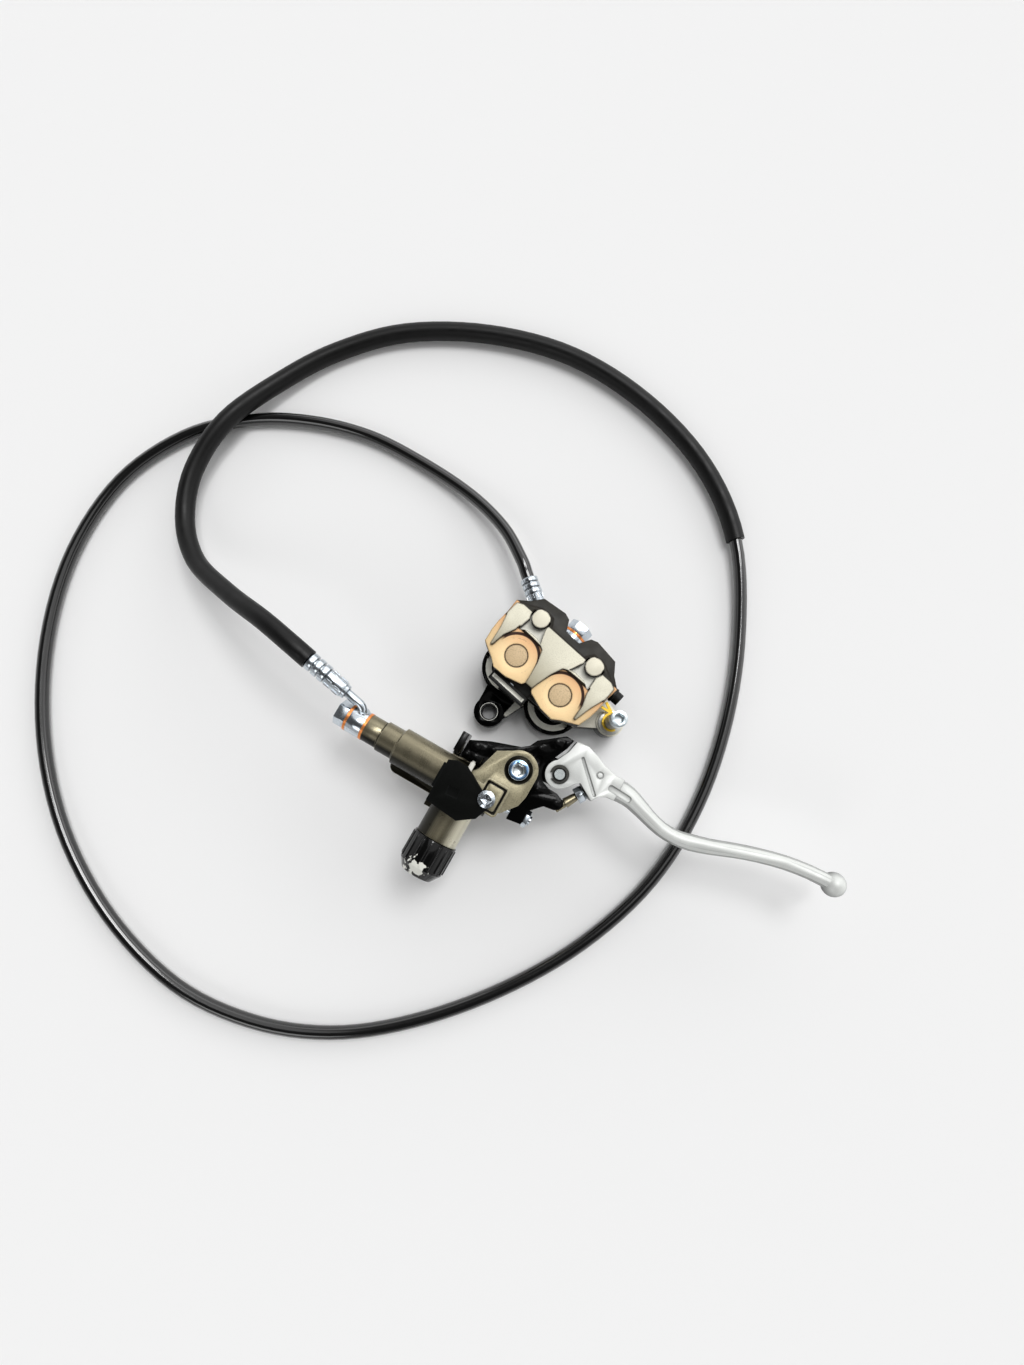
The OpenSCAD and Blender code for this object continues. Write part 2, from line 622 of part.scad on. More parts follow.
// Casting that the main pivot carries: it pushes the piston and holds the lever
module lever_carrier() color([0.03, 0.03, 0.03]) in_master() difference() {
    t = carrier_t / 2;
    union() {
        slab(carrier_outline, -t, t);
        translate(lever_pin_pos) slab([[-11, -7.4], [0, -tongue_r], [0, tongue_r], [-10, 6.2]],
                                      -tongue_t / 2, tongue_t / 2);
        translate([lever_pin_pos[0], lever_pin_pos[1], -tongue_t / 2])
            cylinder(r = tongue_r, h = tongue_t);
        translate([plunger_x - 3.6, plunger_tip + 0.1, t - eps])
            cube([6.6, 3.4, plunger_z + 1.8 - t]);
        for (b = carrier_bosses) translate([b[0], b[1], t - eps]) cylinder(r = b[2], h = b[3]);
    }
    translate([pivot[0], pivot[1], -10]) cylinder(r = pivot_r + 1.55, h = 20);
    translate([lever_pin_pos[0], lever_pin_pos[1], -10])
        cylinder(r = lever_pin_r + fit / 2, h = 20);
    translate([push_screw_start, 0, 0]) along_x() cylinder(r = push_screw_r + 0.05, h = 20);
    at_adjuster() translate([0, 0, -1.5]) cylinder(r = adjuster_r + 0.05, h = 20);
    // Weight-saving pockets in the upper arm
    translate([pivot[0], pivot[1], t - 1.6]) {
        round_plate([-14.1, -5.9], [-9.7, 0.5], 1.6, 3);
        round_plate([4.5, 5.5], [8.3, 11.9], 1.6, 3);
    }
}

// Plain bush between the carrier and the pivot bolt
module carrier_bush() color([0.7, 0.55, 0.3]) in_master()
    translate([pivot[0], pivot[1], -carrier_t / 2])
        tube_shape(pivot_r + 1.5, pivot_r + fit, carrier_t);

// Main pivot bolt with a socket head
module pivot_bolt() color([0.72, 0.76, 0.82]) in_master()
    translate([pivot[0], pivot[1], 0]) difference() {
        union() {
            translate([0, 0, -ear_out - 4]) cylinder(r = pivot_r, h = 2 * ear_out + 4);
            translate([0, 0, ear_out - counterbore_d])
                cylinder(r = pivot_head_r, h = counterbore_d + 3.4);
        }
        translate([0, 0, ear_out]) hexagon(5, 4);
    }

// Nut under the lower ear
module pivot_nut() color([0.7, 0.72, 0.75]) in_master()
    translate([pivot[0], pivot[1], -ear_out - 4]) difference() {
        hexagon(11, 4);
        translate([0, 0, -1]) cylinder(r = pivot_r + 0.05, h = 6);
    }

// Free-play screw that pushes the piston
module push_screw() color([0.7, 0.74, 0.8]) in_master() difference() {
    translate([push_screw_start, 0, 0]) along_x() {
        translate([0, 0, 1]) cylinder(r = push_screw_r, h = push_screw_end - push_screw_start);
        cylinder(r1 = push_screw_r - 1.7, r2 = push_screw_r, h = 1.01);
    }
    translate([push_screw_end - 1.2, -3, -0.4]) cube([4, 6, 0.8]);
}

// Lock nut of the free-play screw
module push_screw_nut() color([0.72, 0.76, 0.82]) in_master()
    translate([push_nut_x, 0, 0]) along_x() difference() {
        rotate([0, 0, 30]) hexagon(8, 2.6);
        translate([0, 0, -1]) cylinder(r = push_screw_r + 0.05, h = 6);
    }

// One rounded section of the lever blade
function blade_ring(p, i) =
    let (n = len(p) - 1, q = p[i], h = heading([for (v = p) [v[0], v[1]]], i),
         across = [-h[1], h[0]], up = blade_half_t[0] + (blade_half_t[1] - blade_half_t[0]) * i / n)
    [for (k = [0:15]) let (a = 360 * k / 16, c = cos(a), s = sin(a),
                           e = pow(pow(abs(c), 2.6) + pow(abs(s), 2.6), -1 / 2.6),
                           x = q[2] * e * c, z = up * e * s)
        [q[0] + across[0] * x, q[1] + across[1] * x, z]];

// Cast lever with a fork at the pin, a grip blade and a ball end
module lever_blade() color([0.66, 0.66, 0.66]) in_master() difference() {
    h = lever_t / 2;
    line = smooth_curve(blade_stations, 2);
    union() {
        slab(lever_outline, -h, h);
        translate([lever_pin_pos[0], lever_pin_pos[1], -h]) cylinder(r = lever_eye_r, h = lever_t);
        swept([for (i = [0:len(line) - 1]) blade_ring(line, i)], 16);
        translate([ball_pos[0], ball_pos[1], 0]) along_x() sphere(r = ball_r);
    }
    // Small flat at the tip of the ball
    translate([ball_pos[0] + ball_r - 0.15, ball_pos[1] - 5, -5]) cube([5, 10, 10]);
    // Fork slot, pin hole and the blind hole over the adjuster rod
    translate([lever_pin_pos[0], lever_pin_pos[1], -fork_slot])
        cylinder(r = lever_eye_r + 1.4, h = 2 * fork_slot);
    translate([lever_pin_pos[0] - 17, 20, -fork_slot]) cube([17, 30, 2 * fork_slot]);
    translate([lever_pin_pos[0], lever_pin_pos[1], -h - 1])
        cylinder(r = lever_pin_r + fit, h = lever_t + 2);
    at_adjuster() translate([0, 0, knob_s]) cylinder(r = adjuster_r + 0.9, h = 11);
    // Groove, pocket and round mark on each face
    for (s = [0, 1]) mirror([0, 0, s]) {
        translate([tube_len + 29, 41, h - 0.9]) rotate([0, 0, -44])
            round_plate([0, -0.8], [20.5, 0.8], 0.7, 2);
        translate([tube_len + 47.5, 34.6, h - 1.1]) rotate([0, 0, -3])
            round_plate([0, -1.6], [13, 1.6], 1.5, 3);
        translate([tube_len + 41, 37.4, h - 0.4]) tube_shape(1.9, 1.3, 2);
    }
}

// Pin through the lever's fork and the carrier's tongue
module lever_pin() color([0.62, 0.62, 0.6]) in_master()
    translate([lever_pin_pos[0], lever_pin_pos[1], 0]) difference() {
        union() {
            translate([0, 0, -lever_t / 2 - 0.9]) cylinder(r = lever_pin_r, h = lever_t + 2.6);
            translate([0, 0, -lever_t / 2 - 1.9]) cylinder(r = lever_pin_r + 1.2, h = 1.6);
        }
        translate([0, 0, lever_t / 2 + 0.1]) tube_shape(lever_pin_r + 1, lever_pin_r - 0.5, 0.8);
    }

// Retaining clip in the pin's groove
module lever_pin_clip() color([0.1, 0.1, 0.1]) in_master()
    translate([lever_pin_pos[0], lever_pin_pos[1], lever_t / 2 + 0.15]) difference() {
        tube_shape(lever_pin_r + 1.4, lever_pin_r - 0.45, 0.7);
        rotate([0, 0, 215]) translate([0, -1.6, -1]) cube([10, 3.2, 3]);
    }

// Threaded rod of the span adjuster
module adjuster_rod() color([0.4, 0.37, 0.26]) in_master()
    at_adjuster() {
        translate([0, 0, -1.4]) cylinder(r = adjuster_r, h = rod_len);
        translate([0, 0, barrel[0]])
            cylinder(r1 = barrel_r, r2 = adjuster_r + 0.1, h = barrel[1] - barrel[0]);
    }

// Hexagonal span adjuster knob that the lever leans on
module adjuster_knob() color([0.55, 0.6, 0.66]) in_master()
    at_adjuster() translate([0, 0, knob_s - knob_len / 2]) difference() {
        union() {
            hexagon(adjuster_flats, knob_len - 1);
            cylinder(r = adjuster_flats / 2 - 0.2, h = knob_len);
        }
        translate([0, 0, -1]) cylinder(r = adjuster_r + 0.5, h = knob_len + 2);
    }

// Union bolt at the end of the master cylinder
module master_banjo_bolt() color([0.75, 0.77, 0.8]) in_master() {
    head_x = -2 * washer_t - eye_t;
    difference() {
        union() {
            translate([head_x - 1, 0, 0]) along_x()
                cylinder(r = union_bolt_r, h = 11 - head_x);
            translate([head_x - union_head_t, 0, 0]) along_x() rotate([0, 0, 30])
                hexagon(12, union_head_t);
        }
        translate([head_x + 4, 0, 0]) along_x() cylinder(r = 1.5, h = 10);
    }
}

// Copper washers either side of the master union
module master_washers() color([0.72, 0.4, 0.22]) in_master()
    for (x = [-washer_t, -2 * washer_t - eye_t])
        translate([x, 0, 0]) along_x() tube_shape(eye_r + 0.05, union_hole_r, washer_t);

// Bend of a union's neck, from a radial start to a straight tail
module neck_bend(r, turn) rotate_extrude(angle = turn) translate([r, 0]) circle(r = neck_tube_r);

// Round eye and bent neck at the master end of the hose
module master_banjo() color([0.7, 0.7, 0.68]) in_master() at_master_union() difference() {
    eye_x = -washer_t - eye_t / 2;
    union() {
        translate([eye_x - eye_t / 2, 0, 0]) along_x() cylinder(r = eye_r, h = eye_t);
        translate([eye_x - bend_r, bend_start, 0]) neck_bend(bend_r, master_neck_turn - 90);
        at_master_neck() translate([-eps, 0, 0])
            along_x() cylinder(r = neck_tube_r, h = master_neck_len);
        translate([eye_x, 0, 0]) along_y() cylinder(r = neck_tube_r + 1, h = 7.6);
    }
    translate([eye_x - eye_t, 0, 0]) along_x() cylinder(r = union_hole_r, h = 2 * eye_t);
}
// Crimped ferrule at the master end
module master_ferrule() color([0.72, 0.74, 0.75]) in_master() at_master_union()
    at_master_neck() translate([master_neck_len - 1, 0, 0]) along_x() ferrule(25.6);

// Straight end of the master neck, after its bend
module at_master_neck() {
    turn = master_neck_turn - 90;
    translate([-washer_t - eye_t / 2 - bend_r * (1 - cos(turn)), bend_start + bend_r * sin(turn), 0])
        rotate([0, 0, master_neck_turn]) children();
}

// Ferrule with a plain collar, three crimp rings and a socket for the neck
module ferrule(length) difference() {
    union() {
        cylinder(r = ferrule_r - 1.1, h = length);
        translate([0, 0, 2]) cylinder(r = ferrule_r - 0.5, h = length * 0.42);
        for (k = [0:2]) translate([0, 0, length * (0.52 + 0.165 * k)])
            cylinder(r = ferrule_r, h = length * 0.12);
    }
    translate([0, 0, -1]) cylinder(r = neck_tube_r + 0.02, h = 2);
}

// Brake hose along its whole route
module brake_hose() color([0.02, 0.02, 0.02]) translate(origin_shift)
    swept([for (i = [0:len(hose_path) - 1]) ring(hose_path, i, hose_d / 2, hose_sides)],
          hose_sides);

// Sleeve over the half of the hose next to the master cylinder
module hose_sleeve() color([0.1, 0.1, 0.1]) translate(origin_shift) {
    path = tail(hose_path, 2 * sleeve_first);
    n = len(path) - 1;
    outer = [for (i = [0:n]) ring(path, i, sleeve_d / 2, sleeve_sides)];
    inner = [for (i = [n:-1:0]) ring(path, i, hose_d / 2 + 0.35, sleeve_sides)];
    swept(concat(outer, inner), sleeve_sides, closed = true);
}

// Crimped ferrule at the caliper end
module caliper_ferrule() color([0.72, 0.74, 0.75]) in_caliper() at_caliper_eye()
    at_caliper_neck() translate([5, 0, 0]) along_x() ferrule(20);

module at_caliper_eye()
    translate([union_x, union_seat + washer_t + eye_t / 2, union_z]) children();
// Straight end of the caliper neck, after its elbow
module at_caliper_neck()
    translate([-caliper_neck_len, 0, 0]) rotate([0, 0, caliper_neck_turn]) children();

// Round eye and bent neck at the caliper end of the hose
module caliper_banjo() color([0.7, 0.7, 0.68]) in_caliper()
    at_caliper_eye() difference() {
        union() {
            translate([0, -eye_t / 2, 0]) along_y() cylinder(r = eye_r, h = eye_t);
            rotate([0, 0, 180]) along_x() cylinder(r = neck_tube_r, h = caliper_neck_len);
            at_caliper_neck() along_x() sphere(r = elbow_r);
            at_caliper_neck() along_x() cylinder(r = neck_tube_r, h = 6);
        }
        translate([0, -eye_t, 0]) along_y() cylinder(r = union_hole_r, h = 2 * eye_t);
    }

// Copper washers either side of the caliper union
module caliper_washers() color([0.72, 0.4, 0.22]) in_caliper() at_caliper_union()
    for (z = [0, washer_t + eye_t])
        translate([0, 0, z]) tube_shape(eye_r + 0.05, union_hole_r, washer_t);

// Union bolt in the caliper's bridge
module caliper_banjo_bolt() color([0.7, 0.76, 0.8]) in_caliper() at_caliper_union() difference() {
    head = 2 * washer_t + eye_t;
    union() {
        translate([0, 0, -9]) cylinder(r = union_bolt_r, h = head + 9.1);
        translate([0, 0, head]) hexagon(12, union_head_t);
    }
    translate([0, 0, -10]) cylinder(r = 1.5, h = 14);
}

// Cuts that both caliper halves share: pad pocket, disc slot and union hole
module shared_cuts() {
    translate([-pad_half - 0.4, -40, pocket_low]) cube([2 * pad_half + 0.8, 53.5, pocket_w]);
    translate([-36, -40, split_z - slot_half]) cube([72, 52, 2 * slot_half]);
    for (s = [-1, 1]) translate([s * disc_x, disc_y, -1])
        cylinder(r = body_bolt_r + 0.05, h = caliper_t - 5);
    translate([pad_pin_pos[0], pad_pin_pos[1], -1]) cylinder(r = pad_pin_r + 0.05, h = 36);
}

// Blind piston bore with its seal grooves, mouth at z = 0 and floor above
module piston_bore() {
    depth = pocket_low - bore_roof;
    translate([0, 0, -1]) cylinder(r = piston_r + fit, h = depth + 1);
    translate([0, 0, dust_band[0]]) cylinder(r = piston_r + 1, h = dust_band[1] - dust_band[0]);
    translate([0, 0, seal_band[0]]) cylinder(r = piston_r + 1.4, h = seal_band[1] - seal_band[0]);
}

// Outer half: bridge lobes, machined piston bosses and a raised web
module caliper_outer() color([0.55, 0.5, 0.4]) in_caliper() difference() {
    union() {
        slab(mirrored(outer_half_outline), split_z, face_z);
        for (s = [-1, 1]) mirror([s < 0 ? 1 : 0, 0, 0]) {
            translate([piston_x, 0, split_z]) cylinder(r = boss_r, h = face_z - split_z);
            hull() {
                slab(lobe_low, split_z, split_z + 8);
                slab(lobe_top, caliper_t - 1, caliper_t);
            }
            slab(web_side, face_z - 1, caliper_t);
            translate([disc_x, disc_y, face_z - 3]) cylinder(r = disc_r, h = caliper_t - face_z + 3);
        }
        hull() {
            slab([[-9, 12], [9, 12], [6, 26.6], [-6, 26.6]], split_z + 6, split_z + 7);
            slab([[-9, 12], [9, 12], [11, 22.3], [-11, 22.3]], caliper_t - 1, caliper_t);
        }
        slab(mirrored(web_centre), face_z - 1, caliper_t);
        translate([tongue_x, tongue_y, tongue_low]) cube([tongue_len, 12, tongue_h]);
    }
    shared_cuts();
    // Spot faces of the bosses, below the web
    for (s = [-1, 1]) mirror([s < 0 ? 1 : 0, 0, 0]) {
        translate([piston_x, 0, face_z]) difference() {
            cylinder(r = boss_r + 0.3, h = 10);
            translate([-piston_x, 0, -1]) slab(mirrored(web_centre), 0, 12);
        }
        difference() {
            slab(low_pocket, pocket_floor, caliper_t + 1);
            translate([disc_x, disc_y, 0]) cylinder(r = disc_r, h = caliper_t + 2);
        }
        translate([disc_x, disc_y, pocket_floor]) difference() {
            tube_shape(disc_r + 1, disc_r, 10);
            translate([-20, 1.6, -1]) cube([40, 20, 20]);
        }
        translate([piston_x, 0, pocket_high]) piston_bore();
        translate([piston_x, 0, face_z - 0.25]) tube_shape(6.2, 5.7, 2);
    }
    // Notch for the union, cut back to its seat
    translate([union_x - notch_half, union_seat, 0])
        cube([2 * notch_half, caliper_t, union_z + eye_r + 2]);
    translate([union_x, union_seat - 10, union_z]) along_y() cylinder(r = union_hole_r, h = 12);
}

// Inner half: black casting with both mounting ears
module caliper_inner() color([0.05, 0.05, 0.05]) in_caliper() difference() {
    union() {
        slab(mirrored(inner_half_outline), 0, split_z);
        for (s = [-1, 1]) translate([s * ledge_pos[0], ledge_pos[1], 0])
            cylinder(r = ledge_r, h = pocket_low);
        // Left ear on its arm
        translate([left_ear[0], left_ear[1], 0]) {
            cylinder(r = left_ear_r, h = left_ear_top);
            slab([[-12.8, 17.7], [12.2, 17.7], [7.6, -0.3], [-7.4, -3.3]], 0, left_ear_top - 2);
        }
        // Right ear on its arm
        translate([right_ear[0], right_ear[1], 2]) cylinder(r = right_ear_r, h = right_ear_top - 2);
        slab([[28, -8], [41, 2.6], [49, 15.4], [30, 19]], 2, right_ear_top - 1);
    }
    shared_cuts();
    // Recess round the machined ledge of each boss
    for (s = [-1, 1]) translate([s * ledge_pos[0], ledge_pos[1], pocket_low - 0.6])
        difference() {
            tube_shape(ledge_r - 1.4, ledge_r - 2, 4);
            translate([-2 * ledge_r, 2, -1]) cube([4 * ledge_r, 2 * ledge_r, 8]);
        }
    for (s = [-1, 1]) translate([s * piston_x, 0, pocket_low]) mirror([0, 0, 1]) piston_bore();
    for (s = [-1, 1]) translate([s * disc_x, disc_y, -1]) cylinder(r = body_bolt_r + 2.2, h = 7);
    translate([left_ear[0], left_ear[1], -1])
        cylinder(r = ear_bore_r + 1.05, h = left_ear_top + 2);
    translate([right_ear[0], right_ear[1], -1])
        cylinder(r = mount_bolt_r + 0.1, h = right_ear_top + 2);
    // Room for the union and its neck below the left lobe
    translate([union_x - notch_half, union_seat, -1])
        cube([2 * notch_half, caliper_t, caliper_t]);
    slab([[-8, 24], [-8, 40], [-40, 40], [-40, 31], [-34, 29], [-25, 25.5], [-11, 25.5]],
         union_z - 4, split_z + 1);
    translate([union_x, union_seat - 11, union_z]) along_y() cylinder(r = union_hole_r, h = 12);
    // Crossover seal and fluid way
    translate([0, crossover_y, split_z - 1.2]) tube_shape(4, 2, 2);
    translate([0, crossover_y, 8]) cylinder(r = 1, h = 20);
    translate(bleed_pos) along_x() cylinder(r = 3.05, h = 20);
}

// Socket screws that join the caliper halves
module body_bolts() color([0.6, 0.6, 0.6]) in_caliper()
    for (s = [-1, 1]) translate([s * disc_x, disc_y, 0]) difference() {
        union() {
            translate([0, 0, 1]) cylinder(r = body_bolt_r + 2, h = 5);
            translate([0, 0, 5.9]) cylinder(r = body_bolt_r, h = caliper_t - 13);
        }
        hexagon(5, 4);
    }

// Rubber ring between the halves round the fluid way
module crossover_seal() color([0.05, 0.05, 0.05]) in_caliper()
    translate([0, crossover_y, split_z - 1.15]) tube_shape(3.9, 2.1, 1.15);

// Cup-shaped piston with its open end towards the pad, at z = 0
module piston_shape() difference() {
    translate([0, 0, -gap]) cylinder(r = piston_r, h = piston_len + gap);
    translate([0, 0, -gap - 1]) cylinder(r = piston_r - 2.4, h = piston_len - 1.5);
}
module outer_piston(s) color([0.8, 0.8, 0.78]) in_caliper()
    translate([s * piston_x, 0, pocket_high]) piston_shape();
module inner_piston(s) color([0.8, 0.8, 0.78]) in_caliper()
    translate([s * piston_x, 0, pocket_low]) mirror([0, 0, 1]) piston_shape();
module piston_outer_left() outer_piston(-1);
module piston_outer_right() outer_piston(1);
module piston_inner_left() inner_piston(-1);
module piston_inner_right() inner_piston(1);

// Rings in one groove of each of the four bores
module bore_rings(band, r_out) in_caliper() for (s = [-1, 1]) {
    translate([s * piston_x, 0, pocket_high + band[0] + 0.05])
        tube_shape(r_out, piston_r + 0.02, band[1] - band[0] - 0.1);
    translate([s * piston_x, 0, pocket_low - band[1] + 0.05])
        tube_shape(r_out, piston_r + 0.02, band[1] - band[0] - 0.1);
}
module piston_seals() color([0.08, 0.08, 0.08]) bore_rings(seal_band, piston_r + 1.35);
module dust_seals() color([0.2, 0.2, 0.2]) bore_rings(dust_band, piston_r + 0.95);

module pad_plate(low) color([0.25, 0.2, 0.15]) in_caliper() difference() {
    slab(backing_outline, low, low + backing_t);
    translate([pad_pin_pos[0], pad_pin_pos[1], low - 1])
        cylinder(r = pad_pin_r + 0.3, h = backing_t + 2);
}
module pad_block(low) color([0.18, 0.17, 0.16]) in_caliper() difference() {
    slab(friction_outline, low, low + friction_t);
    translate([-1, -20, low + (low > split_z ? -eps : friction_t - 2)]) cube([2, 40, 2 + eps]);
}
module pad_outer_plate() pad_plate(pad_out_z);
module pad_outer_block() pad_block(pad_out_z - friction_t);
module pad_inner_plate() pad_plate(pad_in_z);
module pad_inner_block() pad_block(pad_in_z + backing_t);

// Pin that carries both pads
module pad_pin() color([0.7, 0.7, 0.7]) in_caliper()
    translate([pad_pin_pos[0], pad_pin_pos[1], 6])
        cylinder(r = pad_pin_r, h = tongue_low + tongue_h - 6);

// Window frame of spring steel on the tongue of the outer half
module pad_spring() color([0.35, 0.36, 0.36]) in_caliper() difference() {
    translate([tongue_x - 0.6, tongue_y - 0.8, tongue_low + tongue_h]) {
        cube([tongue_len + 1.2, 5.3, 0.9]);
        translate([0, 0, -tongue_h]) cube([tongue_len + 1.2, 0.8, tongue_h + 0.5]);
    }
    translate([tongue_x + 1.6, tongue_y + 0.7, tongue_low + tongue_h + 0.4])
        cube([tongue_len - 3.2, 2.2, 3]);
}

// Bolt in the right mounting ear, standing loose as delivered
module mount_bolt() color([0.62, 0.64, 0.6]) in_caliper()
    translate([right_ear[0], right_ear[1], 0]) difference() {
        union() {
            translate([0, 0, 3]) cylinder(r = mount_bolt_r, h = mount_bolt_top - 6);
            translate([0, 0, right_ear_top])
                cylinder(r = mount_bolt_r + 0.9, h = mount_bolt_top - right_ear_top - 7);
            translate([0, 0, right_ear_top]) cylinder(r = right_ear_r - 0.9, h = 1.2);
            translate([0, 0, mount_bolt_top - 7.4]) cylinder(r = mount_bolt_r + 1.2, h = 7.4);
        }
        translate([0, 0, mount_bolt_top - 3]) hexagon(4.4, 4);
    }

// Yellow wire clip that holds the bolt's sleeve to the caliper
module bolt_clip() color([0.8, 0.65, 0.12]) in_caliper() difference() {
    r = mount_bolt_r + 0.9;
    union() {
        translate([right_ear[0], right_ear[1], 25]) tube_shape(r + 1.2, r + 0.03, 1.4);
        translate([35.3, 11.4, 25]) rotate([0, 0, 10]) cube([6, 1.4, 1.4]);
        translate([35.3, 15, 25]) rotate([0, 0, -22]) cube([8, 1.4, 1.4]);
    }
    translate([right_ear[0], right_ear[1], 20]) cylinder(r = r + 0.03, h = 10);
    translate([right_ear[0] + r, right_ear[1] - 2, 20]) cube([4, 4, 10]);
}

// Steel liner of the left mounting ear
module ear_bush() color([0.3, 0.3, 0.3]) in_caliper()
    translate([left_ear[0], left_ear[1], 0.3])
        tube_shape(ear_bore_r + 1, ear_bore_r, left_ear_top - 0.1);

// Bleed nipple in the right wall
module bleed_nipple() color([0.75, 0.75, 0.75]) in_caliper()
    translate(bleed_pos) along_x() difference() {
        reach = wall_x - bleed_pos[0];
        union() {
            cylinder(r1 = 1, r2 = 3, h = 3);
            translate([0, 0, 3 - eps]) cylinder(r = 3, h = reach - 3 + gap);
            translate([0, 0, reach + gap - eps]) hexagon(7, 2);
            translate([0, 0, reach]) cylinder(r = 1.9, h = 6.4);
        }
        translate([0, 0, 4]) cylinder(r = 0.7, h = 30);
    }

// Rubber cap over the bleed nipple
module bleed_cap() color([0.04, 0.04, 0.04]) in_caliper()
    translate([wall_x + 2.4, bleed_pos[1], bleed_pos[2]]) along_x() difference() {
        union() {
            cylinder(r = 4.2, h = 1.6);
            cylinder(r = 3.5, h = 5.4);
        }
        translate([0, 0, -1]) cylinder(r = 1.95, h = 5.2);
    }

master_body();
reservoir_cap();
reservoir_diaphragm();
master_piston();
primary_cup();
secondary_seal();
piston_spring();
piston_circlip();
dust_boot();
switch_body();
switch_screw();
switch_plunger();
bar_clamp();
clamp_bolts();
lever_carrier();
carrier_bush();
pivot_bolt();
pivot_nut();
push_screw();
push_screw_nut();
lever_blade();
lever_pin();
lever_pin_clip();
adjuster_rod();
adjuster_knob();
master_banjo_bolt();
master_washers();
master_banjo();
master_ferrule();
brake_hose();
hose_sleeve();
caliper_ferrule();
caliper_banjo();
caliper_washers();
caliper_banjo_bolt();
caliper_outer();
caliper_inner();
body_bolts();
crossover_seal();
piston_outer_left();
piston_outer_right();
piston_inner_left();
piston_inner_right();
piston_seals();
dust_seals();
pad_outer_plate();
pad_outer_block();
pad_inner_plate();
pad_inner_block();
pad_pin();
pad_spring();
mount_bolt();
bolt_clip();
ear_bush();
bleed_nipple();
bleed_cap();
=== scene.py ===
"""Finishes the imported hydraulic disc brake: camera, hose, metal and rubber finishes, small detail."""

import json
import math

import bmesh
import bpy
from mathutils import Matrix, Vector

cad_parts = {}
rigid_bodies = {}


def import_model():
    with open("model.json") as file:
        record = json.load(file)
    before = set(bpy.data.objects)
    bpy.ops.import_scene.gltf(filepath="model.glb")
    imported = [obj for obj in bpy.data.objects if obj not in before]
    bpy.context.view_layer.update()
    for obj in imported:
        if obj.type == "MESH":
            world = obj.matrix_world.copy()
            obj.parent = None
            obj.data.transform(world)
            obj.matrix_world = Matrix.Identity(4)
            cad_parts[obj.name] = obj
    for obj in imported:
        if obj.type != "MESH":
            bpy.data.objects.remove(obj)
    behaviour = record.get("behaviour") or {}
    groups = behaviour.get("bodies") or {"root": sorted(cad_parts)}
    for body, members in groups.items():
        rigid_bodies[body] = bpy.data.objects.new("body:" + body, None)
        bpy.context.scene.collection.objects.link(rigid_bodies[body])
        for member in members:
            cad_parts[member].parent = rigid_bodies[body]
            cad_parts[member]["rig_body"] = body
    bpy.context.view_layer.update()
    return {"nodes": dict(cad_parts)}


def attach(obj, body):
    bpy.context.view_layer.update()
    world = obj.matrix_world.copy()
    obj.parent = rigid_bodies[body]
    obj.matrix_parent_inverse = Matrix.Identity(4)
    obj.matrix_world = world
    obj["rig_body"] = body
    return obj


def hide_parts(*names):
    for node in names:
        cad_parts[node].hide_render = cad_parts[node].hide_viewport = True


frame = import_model()
scene = bpy.context.scene
nodes = frame["nodes"]

# ---------------------------------------------------------------- places, in millimetres
SHIFT = Vector((-30.7, 27.1, 0.0))
MASTER = (
    Matrix.Scale(0.001, 4)
    @ Matrix.Translation(SHIFT + Vector((-74.2, -27.6, 37.0)))
    @ Matrix.Rotation(math.radians(-29.7), 4, "Z")
)
CALIPER = (
    Matrix.Scale(0.001, 4)
    @ Matrix.Translation(SHIFT + Vector((13.4, -1.2, 0.0)))
    @ Matrix.Rotation(math.radians(-42.5), 4, "Z")
)
BOSS_X = 15.15
FACE_Z = 41.5
BORE_RADIUS = 9.08
HOSE_DIAMETER = 7.3
SLEEVE_DIAMETER = 10.6
SLEEVE_FIRST = 26
HOSE_ROUTE = [
    (9.12, 57.02, 15), (8.12, 59.85, 15), (5.1, 68.3, 15), (-5, 88, 11), (-24, 109, 6),
    (-52, 129, 4), (-84, 146, 3.8), (-119, 155, 3.8), (-155, 156, 3.8), (-193, 146, 3.8),
    (-229, 119, 3.8), (-254, 76, 3.8), (-265, 25, 3.8), (-263, -30, 3.8), (-248, -82, 3.8),
    (-220, -128, 3.8), (-182, -164, 3.8), (-140, -183, 3.8), (-97, -189, 3.8),
    (-53, -183, 3.8), (-6, -167, 3.8), (38, -143, 3.8), (76, -110, 3.8), (103, -69, 3.8),
    (121, -21, 3.8), (130, 30, 3.8), (129, 82, 5.4), (112, 127, 5.4), (79, 166, 5.4),
    (36, 195, 5.4), (-13, 209, 5.4), (-63, 210, 5.4), (-104, 198, 5.4), (-136, 178, 8),
    (-165, 151, 13.2), (-183, 122, 11.5), (-187, 93, 10.6), (-177, 67, 16.5),
    (-152.5, 45, 31), (-128, 27.2, 44), (-112.26, 14.28, 47.11), (-105.51, 8.41, 46.1),
    (-103.26, 6.45, 45.765),
]


# ---------------------------------------------------------------- camera, floor and light
def set_camera():
    data = bpy.data.cameras.new("camera")
    data.lens = 18.589
    data.sensor_width = 36
    data.clip_start = 0.01
    camera = bpy.data.objects.new("camera", data)
    camera.location = (-0.0307, -0.01992, 0.4)
    camera.rotation_euler = (math.radians(6.704), 0, 0)
    scene.collection.objects.link(camera)
    scene.camera = camera


def lay_floor():
    bpy.ops.mesh.primitive_plane_add(size=6)
    floor = bpy.context.object
    floor.name = "table"
    paint = bpy.data.materials.new("pale table")
    paint.use_nodes = True
    shader = paint.node_tree.nodes["Principled BSDF"]
    shader.inputs["Base Color"].default_value = (0.86, 0.86, 0.86, 1)
    shader.inputs["Roughness"].default_value = 0.95
    shader.inputs["Specular IOR Level"].default_value = 0.0
    floor.data.materials.append(paint)


